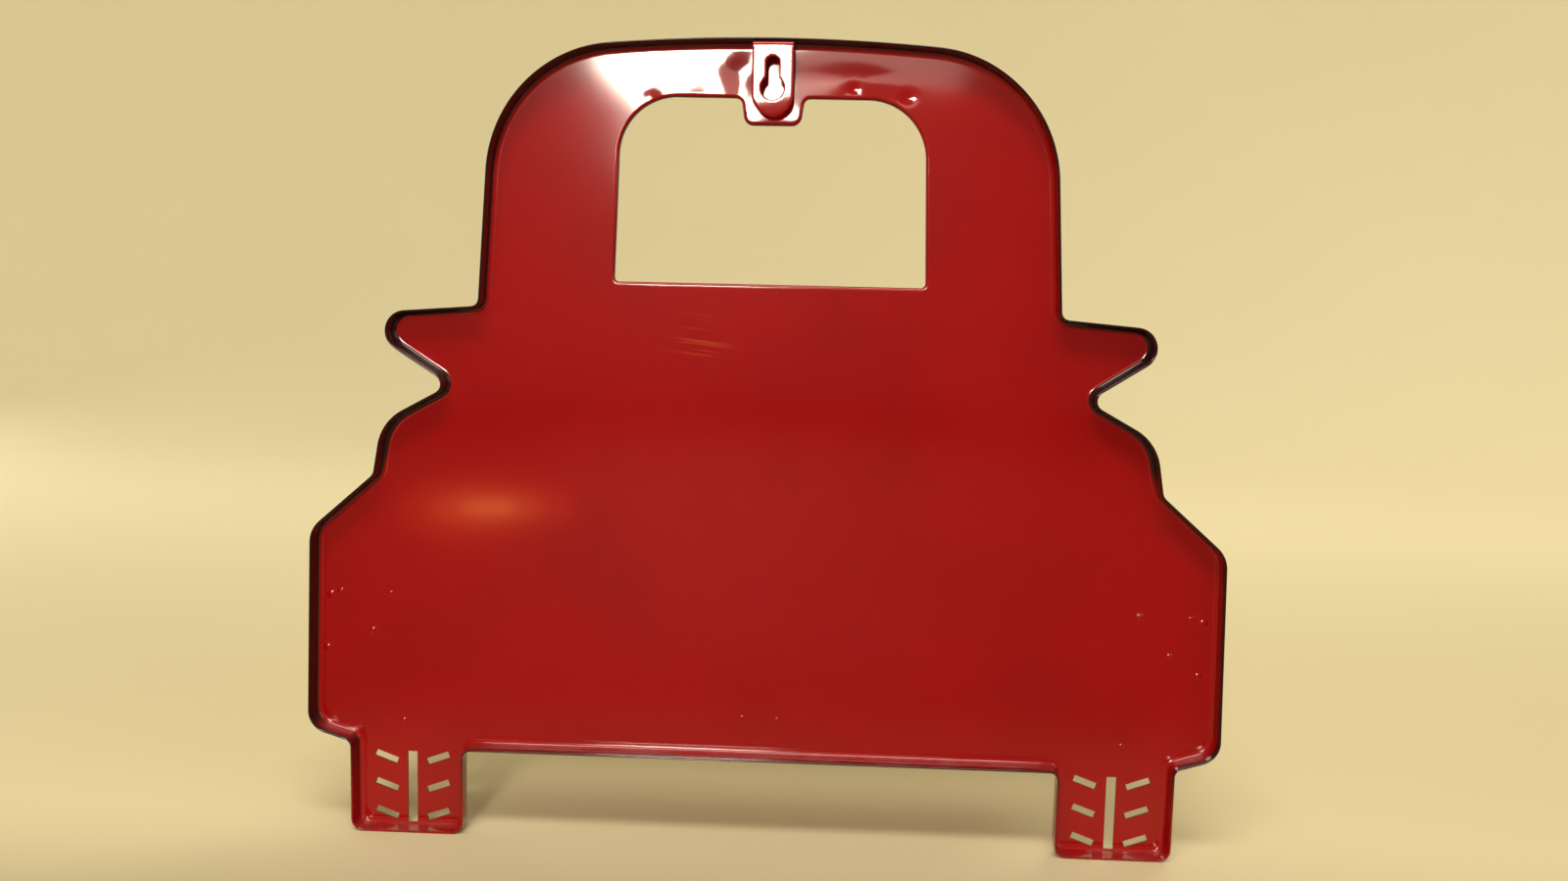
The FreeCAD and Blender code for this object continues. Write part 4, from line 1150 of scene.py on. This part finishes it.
plate = {
    "half": 34.0,
    "low": 73.0,
    "high": 105.0,
    "corner": 4.0,
    "front": -70.0,
    "thick": 1.0,
    "step": 0.5,
    "border": 2.4,
    "borderSoft": 0.35,
    "recess": 0.4,
    "edge": 0.3,
    "grids": (2.0, 0.45),                 # spacing of points, and at the border
}


def plateInset(across, height):
    # distance in from the rounded outline
    middle = (plate["low"] + plate["high"]) / 2
    u = abs(across) - (plate["half"] - plate["corner"])
    v = abs(height - middle) - (plate["high"] - middle - plate["corner"])
    return plate["corner"] - (math.hypot(max(u, 0), max(v, 0)) + min(max(u, v), 0))


def plateFold(across, out, along):
    border, soft = plate["border"], plate["borderSoft"]
    sunk = plate["recess"] * smoothStep(border - soft, border + soft, plateInset(across, along))
    return across, plate["front"] - out + (sunk if out > -plate["thick"] / 2 else 0.0), along


def numberPlate():
    corners = [(plate["half"], height, plate["corner"]) for height in (plate["high"], plate["low"])]
    outline = plainOutline(corners, plate["step"])
    piece = punchedSheet("numberPlate", [outline], plate,
                         lambda x, z: plateInset(x, z) < plate["border"] + 0.8, plateFold)
    piece.data.materials.append(materials["cream_enamel"])
    keepOnRoot(piece, "number_plate")


numberPlate()
print("number plate ready")

# the carried-over pressings get their finishes
for entry in frame["record"]["subparts"]:
    node = frame["nodes"][entry["node"]]
    for holder in node.material_slots:
        holder.link = "OBJECT"
        holder.material = materials[entry["material_slot"]]

studio = {
    "floorRadius": 1.5,
    "coveRadius": 0.8,
    "wallTop": 1.6,
    "paleFloor": (0.61, 0.54, 0.33, 1),
    "shadedFloor": (0.10, 0.085, 0.06, 1),   # the floor grows darker towards the wall side: painted shade for a dark room and for the shade behind the pocket's feet
    "fadeStart": -0.03,
    "fadeEnd": 0.20,
    "wallGlow": 0.40,
    "paleSide": (0.66, 0.58, 0.36, 1),
    "darkSide": (0.15, 0.125, 0.09, 1),
}


def paleFloor():
    material, tree, shader, place = newMaterial("paleFloor", Roughness=0.75, Specular_IOR_Level=0.2)
    lighter = tuple(min(1.0, c * 1.04) for c in studio["paleFloor"])
    base = blendColour(tree, noise(tree, place, 3.0, 3.0), studio["paleFloor"], lighter)
    # painted shade: the floor darkens towards the wall side
    back = axesOf(tree, place)["Y"]
    far = spread(tree, back, studio["fadeStart"], studio["fadeEnd"])
    base = blendColour(tree, far, base, studio["shadedFloor"])
    feed(tree, shader, "Base Color", base)
    feed(tree, shader, "Emission Color", base)
    feed(tree, shader, "Emission Strength", spread(tree, back, -0.05, -0.9, 0.0, studio["wallGlow"]))
    return material


def studioFloor():
    # round floor that curves up into a wall behind the pocket's front
    flat, curve = studio["floorRadius"], studio["coveRadius"]
    rows = [(flat * k / 6, 0.0) for k in range(1, 7)]
    for index in range(1, 13):
        turn = math.pi / 2 * index / 12
        rows.append((flat + curve * math.sin(turn), curve * (1 - math.cos(turn))))
    rows.append((flat + curve, studio["wallTop"]))
    count = 96
    vertices = [(0, 0, tyreBottom)]
    for radius, height in rows:
        for k in range(count):
            turn = 2 * math.pi * k / count
            lift = height * smoothStep(0.0, 0.5, -math.sin(turn))
            vertices.append((radius * math.cos(turn), radius * math.sin(turn), tyreBottom + lift))
    faces = [(0, 1 + k, 1 + (k + 1) % count) for k in range(count)]
    for row in range(len(rows) - 1):
        a, b = 1 + row * count, 1 + (row + 1) * count
        faces += [(a + k, b + k, b + (k + 1) % count, a + (k + 1) % count) for k in range(count)]
    floor = meshPiece("floor", vertices, faces)
    floor.data.materials.append(paleFloor())


def areaLight(name, place, target, size, power, colour, roll, shape="RECTANGLE"):
    light = bpy.data.lights.new(name, "AREA")
    light.shape = shape
    light.size, light.size_y = size
    light.energy = power
    light.color = colour
    lamp = bpy.data.objects.new(name, light)
    lamp.location = place
    aim = (Vector(target) - Vector(place)).to_track_quat("-Z", "Y").to_matrix()
    lamp.rotation_euler = (aim @ Matrix.Rotation(math.radians(roll), 3, "Z")).to_euler()
    lamp.visible_camera = False
    scene.collection.objects.link(lamp)


lights = {
    # place, target, size, power, colour, roll in degrees, shape
    "key": ((0.195, 1.45, 0.285), (0.04, 0.0, 0.0), (0.27, 0.22), 15.0, (1.0, 0.88, 0.74), 28.0),
    "sheen": ((-0.09, 1.46, 0.33), (0.0, 0.0, 0.0), (0.25, 0.15), 0.55, (1.0, 0.74, 0.60), 0.0),
    "top": ((0.08, 0.80, 1.25), (0.0, 0.0, -0.10), (0.95, 0.36), 18.0, (1.0, 0.93, 0.84), 0.0),
    "warmWide": ((0.223, 0.400, -0.2365), (0.12, 0.0, -0.17), (0.135, 0.062), 0.042,
                 (1.0, 0.10, 0.02), 0.0, "ELLIPSE"),
    "warmMiddle": ((0.224, 0.398, -0.2365), (0.12, 0.0, -0.17), (0.090, 0.041), 0.026,
                   (1.0, 0.22, 0.05), 0.0, "ELLIPSE"),
    "warmSmall": ((0.225, 0.396, -0.2365), (0.12, 0.0, -0.17), (0.048, 0.021), 0.009,
                  (1.0, 0.40, 0.10), 0.0, "ELLIPSE"),
    "side": ((-1.3, 0.9, 0.5), (0.0, 0.0, -0.15), (1.0, 1.0), 5.0, (1.0, 0.93, 0.84), 0.0),
    "frontKey": ((-1.1, -1.5, 1.3), (0.0, 0.0, -0.15), (1.0, 0.8), 12.0, (1.0, 0.92, 0.80), 0.0),
    "frontFill": ((1.4, -0.8, 0.2), (0.0, 0.0, -0.15), (0.9, 0.9), 4.0, (0.95, 0.96, 1.0), 0.0),
}


def studioLight():
    for name, settings in lights.items():
        areaLight(name, *settings)
    world = bpy.data.worlds.new("paleRoom")
    world.use_nodes = True
    tree = world.node_tree
    backdrop = tree.nodes["Background"]
    toSky = addNode(tree, "ShaderNodeTexCoord").outputs["Generated"]
    behind = spread(tree, axesOf(tree, toSky)["Y"], 0.35, -0.45)
    feed(tree, backdrop, "Color", blendColour(tree, behind, studio["darkSide"], studio["paleSide"]))
    scene.world = world
    scene.view_settings.view_transform = "Standard"


camera = {
    "place": (-0.0269, 0.5016, -0.0838),
    "yaw": math.radians(2.19),
    "pitch": math.radians(6.0),
    "roll": math.radians(1.35),
    "lens": 29.25,
    "sensor": 36.0,
}


def studioCamera():
    yaw, pitch, roll = camera["yaw"], camera["pitch"], camera["roll"]
    forward = Vector((math.cos(pitch) * math.sin(yaw), -math.cos(pitch) * math.cos(yaw), -math.sin(pitch)))
    level = Vector((-math.cos(yaw), -math.sin(yaw), 0))
    above = Vector((math.sin(pitch) * math.sin(yaw), -math.sin(pitch) * math.cos(yaw), math.cos(pitch)))
    right = level * math.cos(roll) + above * math.sin(roll)
    up = above * math.cos(roll) - level * math.sin(roll)
    lens = bpy.data.cameras.new("camera")
    lens.lens = camera["lens"]
    lens.sensor_width = camera["sensor"]
    lens.clip_start, lens.clip_end = 0.01, 20
    item = bpy.data.objects.new("camera", lens)
    turn = Matrix((right, up, -forward)).transposed()
    item.matrix_world = Matrix.Translation(camera["place"]) @ turn.to_4x4()
    scene.collection.objects.link(item)
    scene.camera = item


studioFloor()
studioLight()
studioCamera()
print("stage ready")
